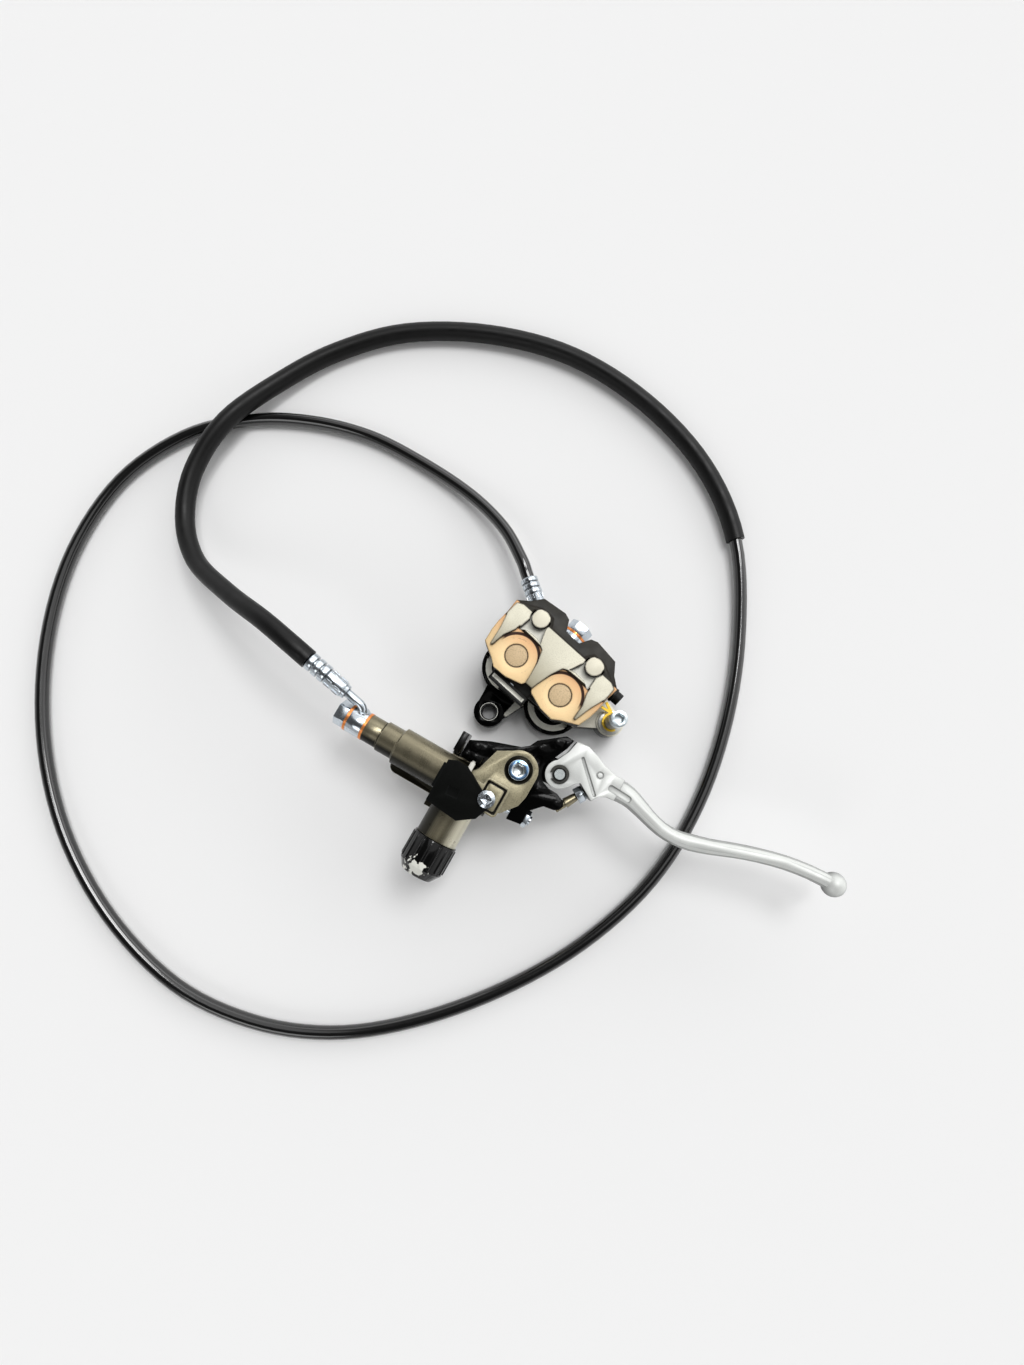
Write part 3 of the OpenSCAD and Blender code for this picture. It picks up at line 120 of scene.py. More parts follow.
def set_light():
    """Soft studio light from the upper right: a bright side, a dark ceiling and a dim far side."""
    world = bpy.data.worlds.new("studio")
    scene.world = world
    world.use_nodes = True
    tree = world.node_tree
    tree.nodes.clear()

    def add(kind, inputs, **settings):
        node = tree.nodes.new(kind)
        for key, value in settings.items():
            setattr(node, key, value)
        for key, value in inputs.items():
            if isinstance(value, bpy.types.NodeSocket):
                tree.links.new(value, node.inputs[key])
            else:
                node.inputs[key].default_value = value
        return node

    where = add("ShaderNodeTexCoord", {}).outputs["Generated"]
    height = add("ShaderNodeSeparateXYZ", {"Vector": where}).outputs["Z"]
    ramp = add("ShaderNodeValToRGB", {"Fac": height})
    stops = ((0.0, 0.9), (0.42, 1.0), (0.62, 0.16), (0.9, 0.1), (1.0, 0.1))
    points = ramp.color_ramp.elements
    while len(points) < len(stops):
        points.new(0.5)
    for point, (position, level) in zip(points, stops):
        point.position = position
        point.color = (level, level, level, 1)
    side = add("ShaderNodeVectorMath", {0: where, 1: (0.62, 0.78, 0)},
               operation="DOT_PRODUCT").outputs["Value"]
    turn = add("ShaderNodeMapRange", {"Value": side, "From Min": -0.7, "From Max": 0.7,
                                      "To Min": 0.5, "To Max": 1.5}).outputs["Result"]
    glow = add("ShaderNodeBackground", {"Color": ramp.outputs["Color"], "Strength": turn})
    add("ShaderNodeOutputWorld", {"Surface": glow.outputs[0]})
    for name, energy, angle, tilt, heading in (
            ("key", 0.95, 22, 30, 140), ("soft", 0.95, 75, 36, 140), ("edge", 0.38, 10, 15, 165),
            ("fill", 0.3, 25, 50, -30)):
        lamp = bpy.data.lights.new(name, "SUN")
        lamp.energy = energy
        lamp.angle = math.radians(angle)
        holder = bpy.data.objects.new(name, lamp)
        holder.rotation_euler = (math.radians(tilt), 0, math.radians(heading))
        scene.collection.objects.link(holder)
    scene.view_settings.view_transform = "Standard"


# ---------------------------------------------------------------- finishes
def linear(r, g, b):
    def one(v):
        v /= 255
        return v / 12.92 if v <= 0.04045 else ((v + 0.055) / 1.055) ** 2.4

    return (one(r), one(g), one(b), 1)


def lighter(colour, amount):
    return tuple(min(1, c * (1 + amount)) for c in colour[:3]) + (1,)


class Finish:
    """One procedural material. Sizes are millimetres, and positions are those of a part's own plan."""

    def __init__(self, name, metal=0.0, rough=0.5, coat=0.0, specular=0.5, edge=0.25, place=None,
                 streak=None):
        self.material = bpy.data.materials.new(name)
        self.material.use_nodes = True
        self.tree = self.material.node_tree
        self.shader = self.tree.nodes["Principled BSDF"]
        self.shader.inputs["Metallic"].default_value = metal
        self.shader.inputs["Roughness"].default_value = rough
        self.shader.inputs["Coat Weight"].default_value = coat
        self.shader.inputs["Coat Roughness"].default_value = 0.06
        self.shader.inputs["Specular IOR Level"].default_value = specular
        self.where = self.add("ShaderNodeTexCoord").outputs["Object"]
        if streak:
            turn = self.add("ShaderNodeMapping", {"Vector": self.where,
                                                  "Rotation": (0, 0, math.radians(-streak[0]))})
            turn = self.add("ShaderNodeMapping", {"Vector": turn.outputs[0], "Scale": streak[1]})
            self.where = turn.outputs[0]
        if place:
            local = place.inverted()
            plan = self.add("ShaderNodeMapping", {
                "Vector": self.add("ShaderNodeTexCoord").outputs["Object"],
                "Location": local.to_translation(), "Rotation": local.to_euler(),
                "Scale": local.to_scale()})
            self.x, self.y, self.z = self.add(
                "ShaderNodeSeparateXYZ", {"Vector": plan.outputs[0]}).outputs
        geometry = self.add("ShaderNodeNewGeometry")
        self.flat_normal = geometry.outputs["True Normal"]
        self.up = self.add("ShaderNodeSeparateXYZ", {"Vector": self.flat_normal}).outputs["Z"]
        self.soft = self.add("ShaderNodeBevel")
        self.soft.samples = 4
        self.soft.inputs["Radius"].default_value = edge * 0.001

    def add(self, kind, inputs=None, **settings):
        node = self.tree.nodes.new(kind)
        for key, value in settings.items():
            setattr(node, key, value)
        for key, value in (inputs or {}).items():
            if isinstance(value, bpy.types.NodeSocket):
                self.tree.links.new(value, node.inputs[key])
            else:
                node.inputs[key].default_value = value
        return node

    def math(self, operation, a, b=0.0):
        return self.add("ShaderNodeMath", {0: a, 1: b}, operation=operation).outputs[0]

    def between(self, value, low, high, soft=0.1):
        """1 where the value lies between two bounds, with a soft step at each."""
        rise = self.spread(value, 0, 1, low - soft, low + soft)
        fall = self.spread(value, 1, 0, high - soft, high + soft)
        return self.math("MULTIPLY", rise, fall)

    def both(self, *masks):
        out = masks[0]
        for mask in masks[1:]:
            out = self.math("MULTIPLY", out, mask)
        return out

    def away(self, x, y, mirrored=False):
        """Distance in plan from a point, or from it and its mirror image."""
        across = self.math("ABSOLUTE", self.x) if mirrored else self.x
        across = self.math("SUBTRACT", across, x)
        along = self.math("SUBTRACT", self.y, y)
        square = self.math("ADD", self.math("MULTIPLY", across, across),
                           self.math("MULTIPLY", along, along))
        return self.math("SQRT", square)

    def facing(self, direction):
        """How far the surface faces a direction: 1 straight towards it, -1 away from it."""
        return self.add("ShaderNodeVectorMath", {0: self.flat_normal, 1: direction},
                        operation="DOT_PRODUCT").outputs["Value"]

    def noise(self, size, detail=3):
        return self.add("ShaderNodeTexNoise", {
            "Vector": self.where, "Scale": 1000 / size, "Detail": detail}).outputs["Fac"]

    def spread(self, value, low, high, start=0.3, end=0.7):
        return self.add("ShaderNodeMapRange", {
            "Value": value, "From Min": start, "From Max": end, "To Min": low,
            "To Max": high}).outputs["Result"]

    def blend(self, factor, a, b):
        return self.add("ShaderNodeMix", {"Factor": factor, "A": a, "B": b},
                        data_type="RGBA").outputs["Result"]

    def grained(self, colour, grain, mottle, second=None):
        """A colour broken up by a fine grain and by broad patches."""
        fine = self.spread(self.noise(grain), 0, 1, 0.35, 0.65)
        broad = self.spread(self.noise(grain * 14, 2), 0, 0.45)
        base = self.blend(fine, lighter(colour, -mottle), second or lighter(colour, mottle))
        return self.blend(broad, base, lighter(colour, -mottle * 0.8))

    def edges(self, base, colour, amount=0.75):
        """A colour along the rounded edges, where the rounded normal leaves the flat one."""
        dot = self.add("ShaderNodeVectorMath", {0: self.soft.outputs[0], 1: self.flat_normal},
                       operation="DOT_PRODUCT").outputs["Value"]
        return self.blend(self.spread(dot, amount, 0, 0.85, 0.985), base, colour)

    def shade_in_hollows(self, base, colour, reach=3.0, amount=0.8):
        """Painted shade: a darker colour in corners and hollows."""
        open_sky = self.add("ShaderNodeAmbientOcclusion", {"Distance": reach * 0.001},
                            samples=4).outputs["AO"]
        return self.blend(self.spread(open_sky, amount, 0, 0.25, 0.85), base, colour)

    def done(self, base, grain=0.6, bump=0.02, rough_spread=0.06, swell=0.0, swell_size=4.0):
        rough = self.shader.inputs["Roughness"].default_value
        self.tree.links.new(base, self.shader.inputs["Base Color"])
        broad = self.noise(grain * 12, 2)
        self.tree.links.new(self.spread(broad, rough - rough_spread, rough + rough_spread),
                            self.shader.inputs["Roughness"])
        normal = self.soft.outputs[0]
        if swell:
            normal = self.add("ShaderNodeBump", {
                "Distance": swell * 0.001, "Strength": 1.0, "Height": self.noise(swell_size, 1),
                "Normal": normal}).outputs[0]
        normal = self.add("ShaderNodeBump", {
            "Distance": bump * 0.001, "Strength": 0.6, "Height": self.noise(grain),
            "Normal": normal}).outputs[0]
        self.tree.links.new(normal, self.shader.inputs["Normal"])
        return self.material


def plain_finish(name, colour, metal=0.0, rough=0.5, grain=0.6, mottle=0.12, bump=0.02, edge=0.25,
                 edge_colour=None, coat=0.0, streak=None, rough_spread=0.06, specular=0.5,
                 swell=0.0, hollow_shade=None, sides=None):
    """Metal, paint or rubber with a grain, mottling, a small bump and soft edges; its sides colour is
    painted shade on side faces and its hollow colour is painted shade in corners.
    """
    made = Finish(name, metal, rough, coat, specular, edge, streak=streak)
    base = made.grained(colour, grain, mottle)
    if sides:
        # Painted shade on the faces that neither face up nor down.
        level = made.math("ABSOLUTE", made.up)
        base = made.blend(made.spread(level, 0.85, 0, 0.1, 0.8), base, sides)
    if hollow_shade:
        # Painted shade in corners and hollows.
        base = made.shade_in_hollows(base, hollow_shade)
    if edge_colour:
        base = made.edges(base, edge_colour)
    return made.done(base, grain, bump, rough_spread, swell)


def casting_outer():
    """Speckled caliper half: pale webs, peach machined faces and bright pockets; the dark walls, lobe
    skirts and edge lines and the darker lower-left webs are painted shade.
    """
    made = Finish("speckled caliper casting", 0.05, 0.5, specular=0.3, edge=0.85, place=CALIPER)
    up = made.spread(made.up, 0, 1, 0.93, 0.985)
    speck = made.spread(made.noise(0.5, 4), 0, 1, 0.5, 0.62)
    # Painted shade: the webs grow darker from the upper right towards the lower left.
    along = made.spread(made.y, 0, 1, -6, 13)
    web = made.blend(along, made.grained(linear(168, 160, 136), 0.5, 0.08),
                     made.grained(linear(232, 228, 208), 0.5, 0.05))
    web = made.blend(made.math("MULTIPLY", speck, 0.3), web, linear(140, 130, 108))
    ring = made.away(15.15, 0, True)
    disc = made.away(18.4, 22.4, True)
    peach = made.grained(linear(255, 221, 168), 0.9, 0.03)
    peach = made.blend(made.spread(made.y, 0, 0.55, 0, 11), peach, linear(252, 178, 122))
    # Painted shade: a dark crescent on the face beside each boss stands for the shaded wall step.
    crescent = made.both(made.between(ring, 10.9, 12.5, 0.12), made.spread(made.y, 0, 1, 0.5, 3.5))
    medal = made.blend(made.math("MULTIPLY", speck, 0.6), linear(216, 190, 150),
                       linear(128, 106, 78))
    face = made.blend(made.spread(ring, 1, 0, 5.6, 5.8), peach, medal)
    face = made.blend(made.between(ring, 5.65, 6.0, 0.08), face, linear(96, 74, 52))
    face = made.blend(crescent, face, linear(58, 32, 18))
    pocket = made.grained(linear(255, 253, 240), 0.6, 0.02)
    top = made.blend(made.spread(made.z, 0, 1, 43.0, 43.3), face, web)
    top = made.blend(made.spread(made.z, 1, 0, 40.2, 40.6), top, pocket)
    bar = made.both(made.between(made.x, -17.4, 2.2, 0.1), made.between(made.y, -15.4, -13.0, 0.1))
    bar = made.blend(bar, linear(34, 34, 32), made.grained(linear(188, 187, 178), 0.6, 0.1))
    top = made.blend(made.spread(made.z, 1, 0, 36.5, 38), top, bar)
    # Painted shade: faces that do not face up are dark, darkest low down.
    low = made.blend(made.spread(made.z, 0, 1, 34, 44), linear(8, 8, 5), linear(42, 39, 30))
    low = made.blend(made.spread(made.noise(6, 2), 0, 0.7), low, linear(14, 13, 9))
    base = made.blend(up, low, top)
    # Painted shade: the lobe skirts take the same dark shade.
    shaded_lobe_skirt = made.both(made.spread(made.y, 0, 1, 21.7, 22.1), made.spread(disc, 0, 1, 4.7, 4.9))
    base = made.blend(shaded_lobe_skirt, base, low)
    base = made.blend(made.spread(disc, 0.6, 0, 4.6, 4.8), base, made.blend(
        made.spread(made.z, 0, 1, 42.5, 43.2), base, linear(230, 224, 204)))
    # Painted shade: dark lines along the rounded edges and darker corners.
    base = made.edges(base, linear(34, 25, 16), 0.85)
    base = made.shade_in_hollows(base, linear(30, 22, 14), 1.2, 0.8)
    return made.done(base, 0.45, 0.03, swell=0.02, swell_size=1.2)


def casting_inner():
    """Black caliper half with the cream machined crescents and the bare right ear."""
    made = Finish("black caliper casting", 0.0, 0.12, 0.0, 0.05, 0.5, place=CALIPER)
    black = made.grained(linear(4, 4, 4), 1.4, 0.3)
    cream = made.grained(linear(255, 253, 240), 0.5, 0.04)
    bright = made.grained(linear(238, 234, 218), 0.5, 0.05)
    up = made.spread(made.up, 0, 1, 0.6, 0.8)
    ledge = made.both(up, made.between(made.z, 12.2, 13.4), made.between(
        made.away(15.75, -3.6, True), 10.6, 13.9, 0.1))
    ear = made.both(up, made.between(made.z, 18.6, 20.6), made.spread(made.x, 0, 1, 30.5, 31))
    web = made.both(up, made.between(made.z, 9.6, 10.6), made.spread(made.x, 0, 1, -1.6, -1),
                    made.spread(made.y, 0, 1, -26, -25))
    base = made.blend(ledge, black, cream)
    base = made.blend(web, base, cream)
    base = made.blend(ear, base, bright)
    return made.done(base, 1.4, 0.03, 0.03, swell=0.04, swell_size=5)


def casting_master():
    """Hard-anodised casting: pale speckled ear and brown tube, with painted shade in the pivot well and
    groove, on the low plate, on the lower-left faces and in corners, and a painted highlight on the
    right of the reservoir tube.
    """
    made = Finish("hard anodised casting", 0.8, 0.3, specular=0.12, edge=0.35, place=MASTER)
    up = made.spread(made.up, 0, 1, 0.75, 0.95)
    tube = made.grained(linear(138, 131, 110), 0.5, 0.12)
    speck = made.spread(made.noise(0.55, 4), 0, 0.6, 0.5, 0.62)
    ear = made.grained(linear(151, 144, 119), 0.6, 0.06)
    ear = made.blend(speck, ear, linear(112, 104, 82))
    flat_top = made.both(up, made.spread(made.z, 0, 1, 10.4, 10.7),
                         made.spread(made.x, 0, 1, 56, 57))
    base = made.blend(flat_top, tube, ear)
    # Painted shade in the pivot well, the groove and on the low plate.
    dark = linear(22, 20, 14)
    well = made.both(made.between(made.z, 9.2, 10.0), made.spread(
        made.away(78.1, 19.5), 1, 0, 7.1, 7.4))
    groove = made.both(made.between(made.z, 11.2, 11.9), made.spread(made.x, 0, 1, 66, 66.5))
    low = made.both(up, made.spread(made.z, 1, 0, -3.4, -3), made.spread(made.y, 1, 0, -9, -8))
    for mask in (well, groove, low):
        base = made.blend(mask, base, dark)
    # Painted shade on the faces turned to the lower left and on the left side of the reservoir tube,
    # which are also made less metallic.
    lower = made.facing((-0.6, -0.8, 0))
    left = made.facing((-0.869, 0.495, 0))
    tank = made.spread(made.y, 1, 0, -11, -9)
    shade = made.math("MAXIMUM", made.spread(lower, 0, 0.97, 0.25, 0.6),
                      made.both(tank, made.spread(left, 0, 0.97, 0.1, 0.5)))
    base = made.blend(shade, base, linear(6, 6, 4))
    metal = made.math("SUBTRACT", made.spread(flat_top, 0.85, 0.25, 0, 1), shade)
    made.tree.links.new(made.math("MAXIMUM", metal, 0), made.shader.inputs["Metallic"])
    # Painted highlight: a pale band on the right side of the reservoir tube.
    base = made.blend(made.both(tank, made.spread(left, 0.8, 0, -0.75, -0.25)), base,
                      linear(222, 218, 198))
    # Painted shade in corners and hollows.
    base = made.shade_in_hollows(base, linear(16, 14, 9), 2.4, 0.9)
    base = made.edges(base, linear(206, 200, 176), 0.55)
    return made.done(base, 0.5, 0.018)


def ear_liner():
    """Eyelet in the left ear: a thin bright rim round a black bore; the black is painted shade of the
    hole.
    """
    made = Finish("ear liner", 0.4, 0.35, specular=0.2, edge=0.1, place=CALIPER)
    rim = made.both(made.spread(made.away(-8.2, -29.7), 0, 1, 4.6, 4.7),
                    made.spread(made.up, 0, 1, 0.5, 0.7))
    base = made.blend(rim, made.grained(linear(6, 6, 6), 0.8, 0.2), linear(190, 190, 184))
    return made.done(base, 0.8, 0.01)


def spring_leaf():
    """Pad spring: dark leaf with a paler window strip."""
    made = Finish("spring leaf", 0.5, 0.4, specular=0.3, edge=0.15, place=CALIPER)
    strip = made.both(made.between(made.x, -18.2, 2.8, 0.1), made.between(
        made.y, -15.6, -13.6, 0.1))
    base = made.blend(strip, made.grained(linear(24, 24, 23), 0.6, 0.2),
                      made.grained(linear(190, 189, 180), 0.6, 0.1))
    return made.done(base, 0.6, 0.02)


def pin_steel():
    """Lever pin: bright centre in a dark ring, the ring being painted shade of the recess round the
    pin.
    """
    made = Finish("lever pin steel", 0.8, 0.3, edge=0.2, place=MASTER)
    centre = made.spread(made.away(97.0, 27.8), 1, 0, 2.5, 2.7)
    base = made.blend(centre, made.grained(linear(20, 20, 20), 0.6, 0.2),
                      made.grained(linear(176, 182, 182), 0.5, 0.25))
    return made.done(base, 0.5, 0.03)


def pivot_zinc():
    """Zinc-plated pivot bolt with a blue passivated ring."""
    made = Finish("pivot zinc", 1.0, 0.22, edge=0.3, place=MASTER)
    base = made.grained(linear(206, 212, 214), 0.6, 0.1)
    ring = made.away(78.1, 19.5)
    base = made.blend(made.between(ring, 3.5, 4.9, 0.2), base, linear(120, 156, 196))
    # Painted shade in corners and hollows.
    base = made.shade_in_hollows(base, linear(30, 30, 28), 1.2, 0.7)
    return made.done(base, 0.6, 0.01)


def cap_plastic():
    """Glossy black cap with a pale patch on its end."""
    made = Finish("gloss cap plastic", 0.0, 0.12, 0.1, 0.3, 0.5, place=MASTER)
    black = made.grained(linear(5, 5, 5), 1.2, 0.3)
    near = made.math("ADD", made.away(56.5, -47.2), made.spread(made.noise(3.2, 4), -4, 4))
    patch = made.both(made.spread(near, 1, 0, 3.9, 4.4), made.spread(made.z, 0, 1, 0.5, 1.5))
    base = made.blend(patch, black, linear(226, 226, 218))
    return made.done(base, 1.2, 0.02)


def sleeve_steel():
    """Loose mounting bolt: grey sleeve below, bright socket head above."""
    made = Finish("bolt sleeve steel", 0.9, 0.3, edge=0.25, place=CALIPER)
    grey = made.grained(linear(120, 122, 120), 0.6, 0.14)
    pale = made.grained(linear(206, 216, 220), 0.6, 0.08)
    high = made.spread(made.z, 0, 1, 46.2, 46.8)
    ring = made.both(made.between(made.z, 20.4, 21.6), made.spread(made.up, 0, 1, 0.6, 0.8))
    base = made.blend(high, grey, pale)
    base = made.blend(ring, base, linear(232, 232, 226))
    # Painted shade in corners and hollows.
    base = made.shade_in_hollows(base, linear(30, 32, 32), 1.0, 0.7)
    return made.done(base, 0.6, 0.012)


OLIVE = casting_master()
BEIGE = casting_outer()
BLACK_HALF = casting_inner()
PIVOT = pivot_zinc()
CAP = cap_plastic()
BOLT_SLEEVE = sleeve_steel()
EAR_LINER = ear_liner()
LEVER_PIN = pin_steel()
SPRING_LEAF = spring_leaf()
# The adjuster rod's hollow colour is painted shade in corners.
ROD = plain_finish("adjuster rod", linear(150, 142, 118), 0.9, 0.28, 0.5, 0.14, 0.012,
                   hollow_shade=linear(20, 18, 12))
GLOSS_BLACK = plain_finish("gloss black enamel", linear(5, 5, 5), 0.0, 0.1, 1.2, 0.3, 0.05,
                           edge=0.6, specular=0.09, swell=0.1, rough_spread=0.03)
CLAMP_BLACK = plain_finish("satin black enamel", linear(5, 5, 5), 0.0, 0.22, 0.8, 0.3, 0.04,
                           edge=0.5, specular=0.2)
CHARCOAL = plain_finish("charcoal switch plastic", linear(11, 12, 11), 0.0, 0.6, 0.35, 0.2, 0.03,
                        edge=0.3, specular=0.04, edge_colour=linear(40, 42, 42))
# The lever's edge colour is painted shade on its rounded edges; its hollow and sides colours are
# painted shade in corners and on side faces.
CAST_LEVER = plain_finish("shot-blasted lever", linear(215, 217, 214), 0.2, 0.42, 0.35, 0.05,
                          0.03, edge=0.45, specular=0.35, edge_colour=linear(132, 134, 132),
                          hollow_shade=linear(84, 86, 86), sides=linear(92, 94, 93))
# The zinc plate's hollow colour is painted shade in corners.
ZINC = plain_finish("zinc plate", linear(205, 213, 220), 1.0, 0.2, 0.8, 0.1, 0.008, edge=0.3,
                    hollow_shade=linear(40, 42, 42))
DARK_STEEL = plain_finish("dark steel", linear(60, 60, 57), 0.8, 0.36, 0.6, 0.2, 0.015, edge=0.25)
BRIGHT = plain_finish("turned aluminium", linear(205, 205, 200), 1.0, 0.25, 0.6, 0.1, 0.006)
COPPER = plain_finish("copper washer", linear(240, 150, 84), 0.75, 0.28, 0.6, 0.12, 0.01, edge=0.2)
BRONZE = plain_finish("bronze", linear(180, 140, 80), 0.9, 0.35, 0.6, 0.15, 0.01, edge=0.2)
RUBBER = plain_finish("black rubber", linear(9, 9, 9), 0.0, 0.45, 0.4, 0.2, 0.02, edge=0.3,
                      specular=0.3)
YELLOW = plain_finish("yellow wire", linear(236, 194, 44), 0.3, 0.3, 0.6, 0.1, 0.006, edge=0.2)
PALE = plain_finish("pale plastic", linear(226, 224, 216), 0.0, 0.4, 0.6, 0.06, 0.01, edge=0.2)
PAD = plain_finish("friction block", linear(58, 54, 49), 0.1, 0.85, 0.5, 0.5, 0.12, edge=0.15)
HOSE = plain_finish("gloss hose jacket", linear(4, 4, 4), 0.0, 0.16, 2.0, 0.25, 0.015, coat=1.0,
                    specular=0.45, rough_spread=0.04)
SLEEVE = plain_finish("sleeve", linear(10, 10, 10), 0.0, 0.42, 0.5, 0.2, 0.02, specular=0.25)
# Painted shade: the dark finish of the rounded edge faces.
SHADE_OUTLINE = plain_finish("painted edge shade", linear(32, 25, 17), 0.2, 0.5, 0.6, 0.2, 0.02)


# ---------------------------------------------------------------- shapes
def curve_point(p, i, t):
    a, b = p[max(i - 1, 0)], p[i]
    c, d = p[min(i + 1, len(p) - 1)], p[min(i + 2, len(p) - 1)]
    return 0.5 * (2 * b + (c - a) * t + (2 * a - 5 * b + 4 * c - d) * t * t
                  + (3 * b - a - 3 * c + d) * t ** 3)


def smooth_curve(points, steps):
    line = [curve_point(points, i, k / steps) for i in range(len(points) - 1) for k in range(steps)]
    return line + [points[-1]]


def new_piece(name, vertices, faces, material, body):
    mesh = bpy.data.meshes.new(name)
    mesh.from_pydata([tuple(v) for v in vertices], [], faces)
    bm = bmesh.new()
    bm.from_mesh(mesh)
    bmesh.ops.recalc_face_normals(bm, faces=bm.faces)
    bm.to_mesh(mesh)
    bm.free()
    mesh.materials.append(material)
    mesh.polygons.foreach_set("use_smooth", [True] * len(mesh.polygons))
    mesh.set_sharp_from_angle(angle=math.radians(40))
    piece = bpy.data.objects.new(name, mesh)
    scene.collection.objects.link(piece)
    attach(piece, body)
    return piece


def rings_along(line, radius, sides):
    rings = []
    for i, point in enumerate(line):
        ahead = (line[min(i + 1, len(line) - 1)] - line[max(i - 1, 0)]).normalized()
        side = Vector((0, 0, 1)).cross(ahead).normalized()
        up = ahead.cross(side)
        rings.append([
            point + radius * (math.cos(a) * side + math.sin(a) * up)
            for a in (2 * math.pi * k / sides for k in range(sides))
        ])
    return rings


def skin(rings, closed=False):
    sides = len(rings[0])
    count = len(rings)
    faces = []
    for i in range(count if closed else count - 1):
        j = (i + 1) % count
        for k in range(sides):
            m = (k + 1) % sides
            faces.append((i * sides + k, j * sides + k, j * sides + m, i * sides + m))
    if not closed:
        faces.append(tuple(range(sides)))
        faces.append(tuple((count - 1) * sides + k for k in range(sides)))
    return [v for ring in rings for v in ring], faces


def make_hose():
    route = [(Vector(p) + SHIFT) * 0.001 for p in HOSE_ROUTE]
    line = smooth_curve(route, 6)
    radius = HOSE_DIAMETER / 2000
    vertices, faces = skin(rings_along(line, radius, 28))
    hose = new_piece("hose", vertices, faces, HOSE, "brake_set")
    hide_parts("brake_hose")
    covered = smooth_curve(route, 6)[SLEEVE_FIRST * 6:]
    outer = rings_along(covered, SLEEVE_DIAMETER / 2000, 28)
    inner = rings_along(covered, radius + 0.00035, 28)
    vertices, faces = skin(outer + inner[::-1], closed=True)
    sleeve = new_piece("sleeve", vertices, faces, SLEEVE, "brake_set")
    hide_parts("hose_sleeve")


def close_bores(bm):
    """Closes each boss face over its piston bore, with the round casting mark in it."""
    for side in (-1, 1):
        centre = CALIPER @ Vector((side * BOSS_X, 0, FACE_Z))

        def at_rim(vertex):
            gap = (vertex.co - centre) * 1000
            return abs(gap.z) < 0.05 and abs(gap.xy.length - BORE_RADIUS) < 0.06

        rim = [e for e in bm.edges if at_rim(e.verts[0]) and at_rim(e.verts[1])]
        bmesh.ops.split_edges(bm, edges=rim)
        loops = {True: [], False: []}
        for vertex in bm.verts:
            if at_rim(vertex) and vertex.link_faces:
                flat = any(abs(f.normal.z) > 0.5 for f in vertex.link_faces)
                loops[flat].append(vertex)
        for flat, steps in ((False, ((BORE_RADIUS, -0.8),)), (True, (
                (6.2, 0), (6.1, -0.3), (5.8, -0.3), (5.7, 0)))):
            loop = sorted(loops[flat], key=lambda v: math.atan2(v.co.y - centre.y,
                                                                v.co.x - centre.x))
            for radius, drop in steps:
                ring = []
                for vertex in loop:
                    gap = vertex.co - centre
                    place = Vector((gap.x, gap.y, 0)).normalized() * radius * 0.001
                    ring.append(bm.verts.new(centre + place + Vector((0, 0, drop * 0.001))))
                for k in range(len(loop)):
                    m = (k + 1) % len(loop)
                    bm.faces.new((loop[k], loop[m], ring[m], ring[k]))
                loop = ring
            bm.faces.new(loop)
    bmesh.ops.recalc_face_normals(bm, faces=bm.faces)


def rounded(node, material, width=0.25, outline=None, segments=2):
    """A copy of a CAD node with real rounded edges, in the node's place."""
    source = nodes[node]
    mesh = source.data.copy()
    mesh.name = node + "_dressed"
    bm = bmesh.new()
    bm.from_mesh(mesh)
    bmesh.ops.remove_doubles(bm, verts=bm.verts, dist=2e-6)
    bmesh.ops.dissolve_limit(bm, angle_limit=math.radians(1.2), verts=bm.verts, edges=bm.edges)
    if node == "caliper_outer":
        close_bores(bm)
    bm.to_mesh(mesh)
    bm.free()
    if mesh.has_custom_normals:
        mesh.free_normals_split() if hasattr(mesh, "free_normals_split") else None
    piece = bpy.data.objects.new(node + "_dressed", mesh)
    scene.collection.objects.link(piece)
    bevel = piece.modifiers.new("round", "BEVEL")
    bevel.width = width * 0.001
    bevel.segments = segments
    bevel.limit_method = "ANGLE"
    bevel.angle_limit = math.radians(38)
    bevel.use_clamp_overlap = True
    # The rounded faces take the outline finish, which paints shade along the edges.
    if outline:
        mesh.materials.clear()
        mesh.materials.append(material)
        mesh.materials.append(outline)
        bevel.material = 1
    graph = bpy.context.evaluated_depsgraph_get()
    made = bpy.data.meshes.new_from_object(piece.evaluated_get(graph))
    piece.modifiers.clear()
    piece.data = made
    made.materials.clear()
    made.materials.append(material)
    if outline:
        made.materials.append(outline)
    made.polygons.foreach_set("use_smooth", [True] * len(made.polygons))
    made.set_sharp_from_angle(angle=math.radians(50))
    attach(piece, source["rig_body"])
    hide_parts(node)
    return piece


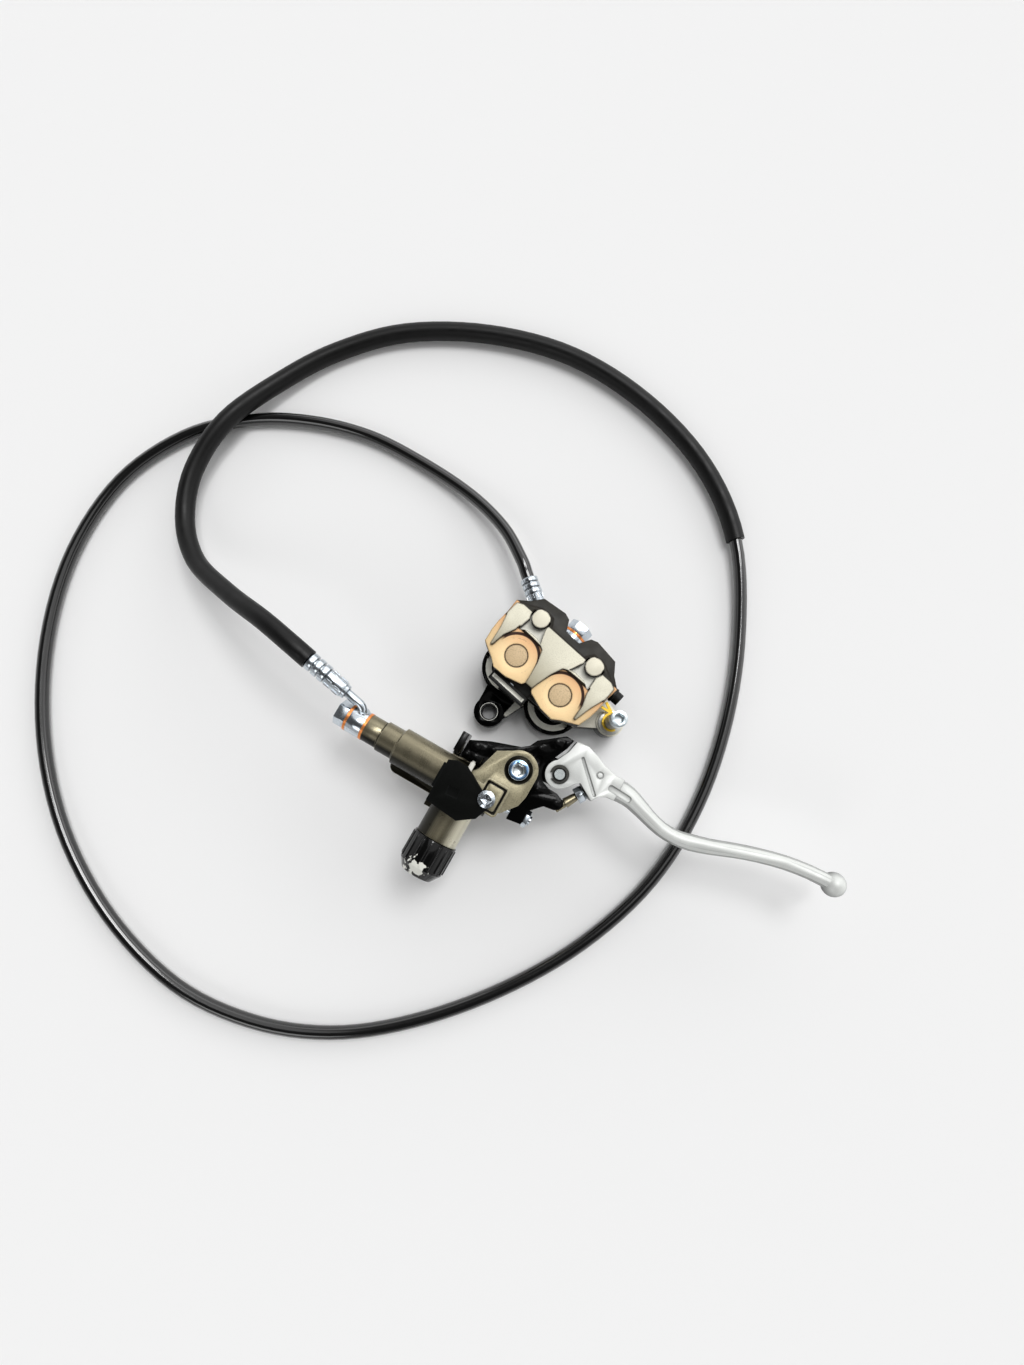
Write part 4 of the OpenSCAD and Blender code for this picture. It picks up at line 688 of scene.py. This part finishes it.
def ridge_group():
    """Rows of straight crimp ridges round a ferrule's collar, its axis along Z."""
    group = bpy.data.node_groups.new("crimp ridges", "GeometryNodeTree")
    group.interface.new_socket("Geometry", in_out="OUTPUT", socket_type="NodeSocketGeometry")
    for name, kind in (("Radius", "Float"), ("Count", "Int"), ("Ridge Length", "Float"),
                       ("Ridge Width", "Float"), ("Ridge Height", "Float"), ("Rows", "Int"),
                       ("Row Pitch", "Float"), ("Finish", "Material")):
        group.interface.new_socket(name, in_out="INPUT", socket_type="NodeSocket" + kind)

    def add(kind, inputs, **settings):
        node = group.nodes.new(kind)
        for key, value in settings.items():
            setattr(node, key, value)
        for key, value in inputs.items():
            if isinstance(value, bpy.types.NodeSocket):
                group.links.new(value, node.inputs[key])
            else:
                node.inputs[key].default_value = value
        return node

    given = group.nodes.new("NodeGroupInput").outputs
    ring = add("GeometryNodeMeshCircle", {"Vertices": given["Count"], "Radius": given["Radius"]})
    step = add("ShaderNodeCombineXYZ", {"Z": given["Row Pitch"]})
    column = add("GeometryNodeMeshLine", {"Count": given["Rows"], "Offset": step.outputs[0]})
    rows = add("GeometryNodeInstanceOnPoints", {"Points": column.outputs[0],
                                                "Instance": ring.outputs[0]})
    points = add("GeometryNodeRealizeInstances", {"Geometry": rows.outputs[0]})
    outward = add("ShaderNodeVectorMath", {0: group.nodes.new("GeometryNodeInputPosition").outputs[0],
                                           1: (1, 1, 0)}, operation="MULTIPLY")
    turn = add("FunctionNodeAlignRotationToVector", {"Vector": outward.outputs[0]}, axis="X",
               pivot_axis="Z")
    size = add("ShaderNodeCombineXYZ", {"X": given["Ridge Height"], "Y": given["Ridge Width"],
                                        "Z": given["Ridge Length"]})
    bar = add("GeometryNodeMeshCube", {"Size": size.outputs[0]})
    ridges = add("GeometryNodeInstanceOnPoints", {
        "Points": points.outputs[0], "Instance": bar.outputs[0], "Rotation": turn.outputs[0]})
    solid = add("GeometryNodeRealizeInstances", {"Geometry": ridges.outputs[0]})
    painted = add("GeometryNodeSetMaterial", {"Geometry": solid.outputs[0],
                                              "Material": given["Finish"]})
    add("NodeGroupOutput", {"Geometry": painted.outputs[0]})
    return group


def crimp(name, node, hose_end, next_point, first_row, sizes):
    """Crimp ridges on one ferrule, measured inward from the end that the hose leaves."""
    start, ahead = Vector(hose_end), Vector(next_point)
    inward = (start - ahead).normalized()
    place = (Matrix.Scale(0.001, 4) @ Matrix.Translation(start + SHIFT + inward * first_row)
             @ inward.to_track_quat("Z", "Y").to_matrix().to_4x4() @ Matrix.Scale(1000, 4))
    piece = bpy.data.objects.new(name, bpy.data.meshes.new(name))
    scene.collection.objects.link(piece)
    repeat = piece.modifiers.new("ridges", "NODES")
    repeat.node_group = ridge_group()
    for item in repeat.node_group.interface.items_tree:
        if item.in_out == "INPUT":
            repeat[item.identifier] = sizes[item.name]
    graph = bpy.context.evaluated_depsgraph_get()
    made = bpy.data.meshes.new_from_object(piece.evaluated_get(graph))
    piece.modifiers.clear()
    piece.data = made
    made.transform(place)
    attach(piece, nodes[node]["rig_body"])


def crimp_ferrules():
    ridge = {"Ridge Width": 0.0011, "Ridge Height": 0.0008, "Finish": ZINC, "Radius": 0.0042,
             "Count": 10}
    crimp("master_crimps", "master_ferrule", HOSE_ROUTE[-1], HOSE_ROUTE[-2], 15.4,
          ridge | {"Ridge Length": 0.0036, "Rows": 2, "Row Pitch": 0.0052})
    crimp("caliper_crimps", "caliper_ferrule", HOSE_ROUTE[0], HOSE_ROUTE[1], 11.6,
          ridge | {"Ridge Length": 0.0028, "Rows": 2, "Row Pitch": 0.0042})


FINISHES = {
    "master_body": OLIVE, "reservoir_cap": CAP, "reservoir_diaphragm": RUBBER,
    "master_piston": BRIGHT, "primary_cup": RUBBER, "secondary_seal": RUBBER,
    "piston_spring": ZINC, "piston_circlip": DARK_STEEL, "dust_boot": RUBBER,
    "switch_body": CHARCOAL, "switch_screw": ZINC, "switch_plunger": PALE,
    "bar_clamp": CLAMP_BLACK, "clamp_bolts": DARK_STEEL, "lever_carrier": GLOSS_BLACK,
    "carrier_bush": BRONZE, "pivot_bolt": PIVOT, "pivot_nut": ZINC, "push_screw": ZINC,
    "push_screw_nut": ZINC, "lever_blade": CAST_LEVER, "lever_pin": LEVER_PIN,
    "lever_pin_clip": DARK_STEEL, "adjuster_rod": ROD, "adjuster_knob": ZINC,
    "master_banjo_bolt": ZINC, "master_washers": COPPER, "master_banjo": ZINC,
    "master_ferrule": ZINC, "caliper_ferrule": ZINC, "caliper_banjo": ZINC,
    "caliper_washers": COPPER, "caliper_banjo_bolt": ZINC, "caliper_outer": BEIGE,
    "caliper_inner": BLACK_HALF, "body_bolts": DARK_STEEL, "crossover_seal": RUBBER,
    "piston_outer_left": BRIGHT, "piston_outer_right": BRIGHT, "piston_inner_left": BRIGHT,
    "piston_inner_right": BRIGHT, "piston_seals": RUBBER, "dust_seals": RUBBER,
    "pad_outer_plate": DARK_STEEL, "pad_outer_block": PAD, "pad_inner_plate": DARK_STEEL,
    "pad_inner_block": PAD, "pad_pin": ZINC, "pad_spring": SPRING_LEAF,
    "mount_bolt": BOLT_SLEEVE, "bolt_clip": YELLOW, "ear_bush": EAR_LINER,
    "bleed_nipple": ZINC, "bleed_cap": RUBBER,
}
ROUNDED = {
    "master_body": 0.5, "reservoir_cap": 0.4, "switch_body": 0.5, "bar_clamp": 0.6,
    "lever_carrier": 0.7, "lever_blade": 0.8, "master_banjo_bolt": 0.4, "master_banjo": 0.3,
    "master_ferrule": 0.25, "caliper_ferrule": 0.25, "caliper_banjo": 0.3,
    "caliper_banjo_bolt": 0.4, "caliper_outer": 0.5, "caliper_inner": 0.6, "pivot_bolt": 0.3,
    "mount_bolt": 0.3, "push_screw_nut": 0.3, "adjuster_knob": 0.3, "pad_spring": 0.15,
    "bleed_cap": 0.3, "switch_screw": 0.2,
}

# Nodes whose rounded edges get the painted edge shade.
OUTLINES = {"caliper_outer": SHADE_OUTLINE}


def dress_nodes():
    for name, material in FINISHES.items():
        if name in ROUNDED:
            rounded(name, material, ROUNDED[name], OUTLINES.get(name))
        else:
            mesh = nodes[name].data
            mesh.materials.clear()
            mesh.materials.append(material)


set_camera()
make_hose()
lay_floor()
set_light()
dress_nodes()
crimp_ferrules()
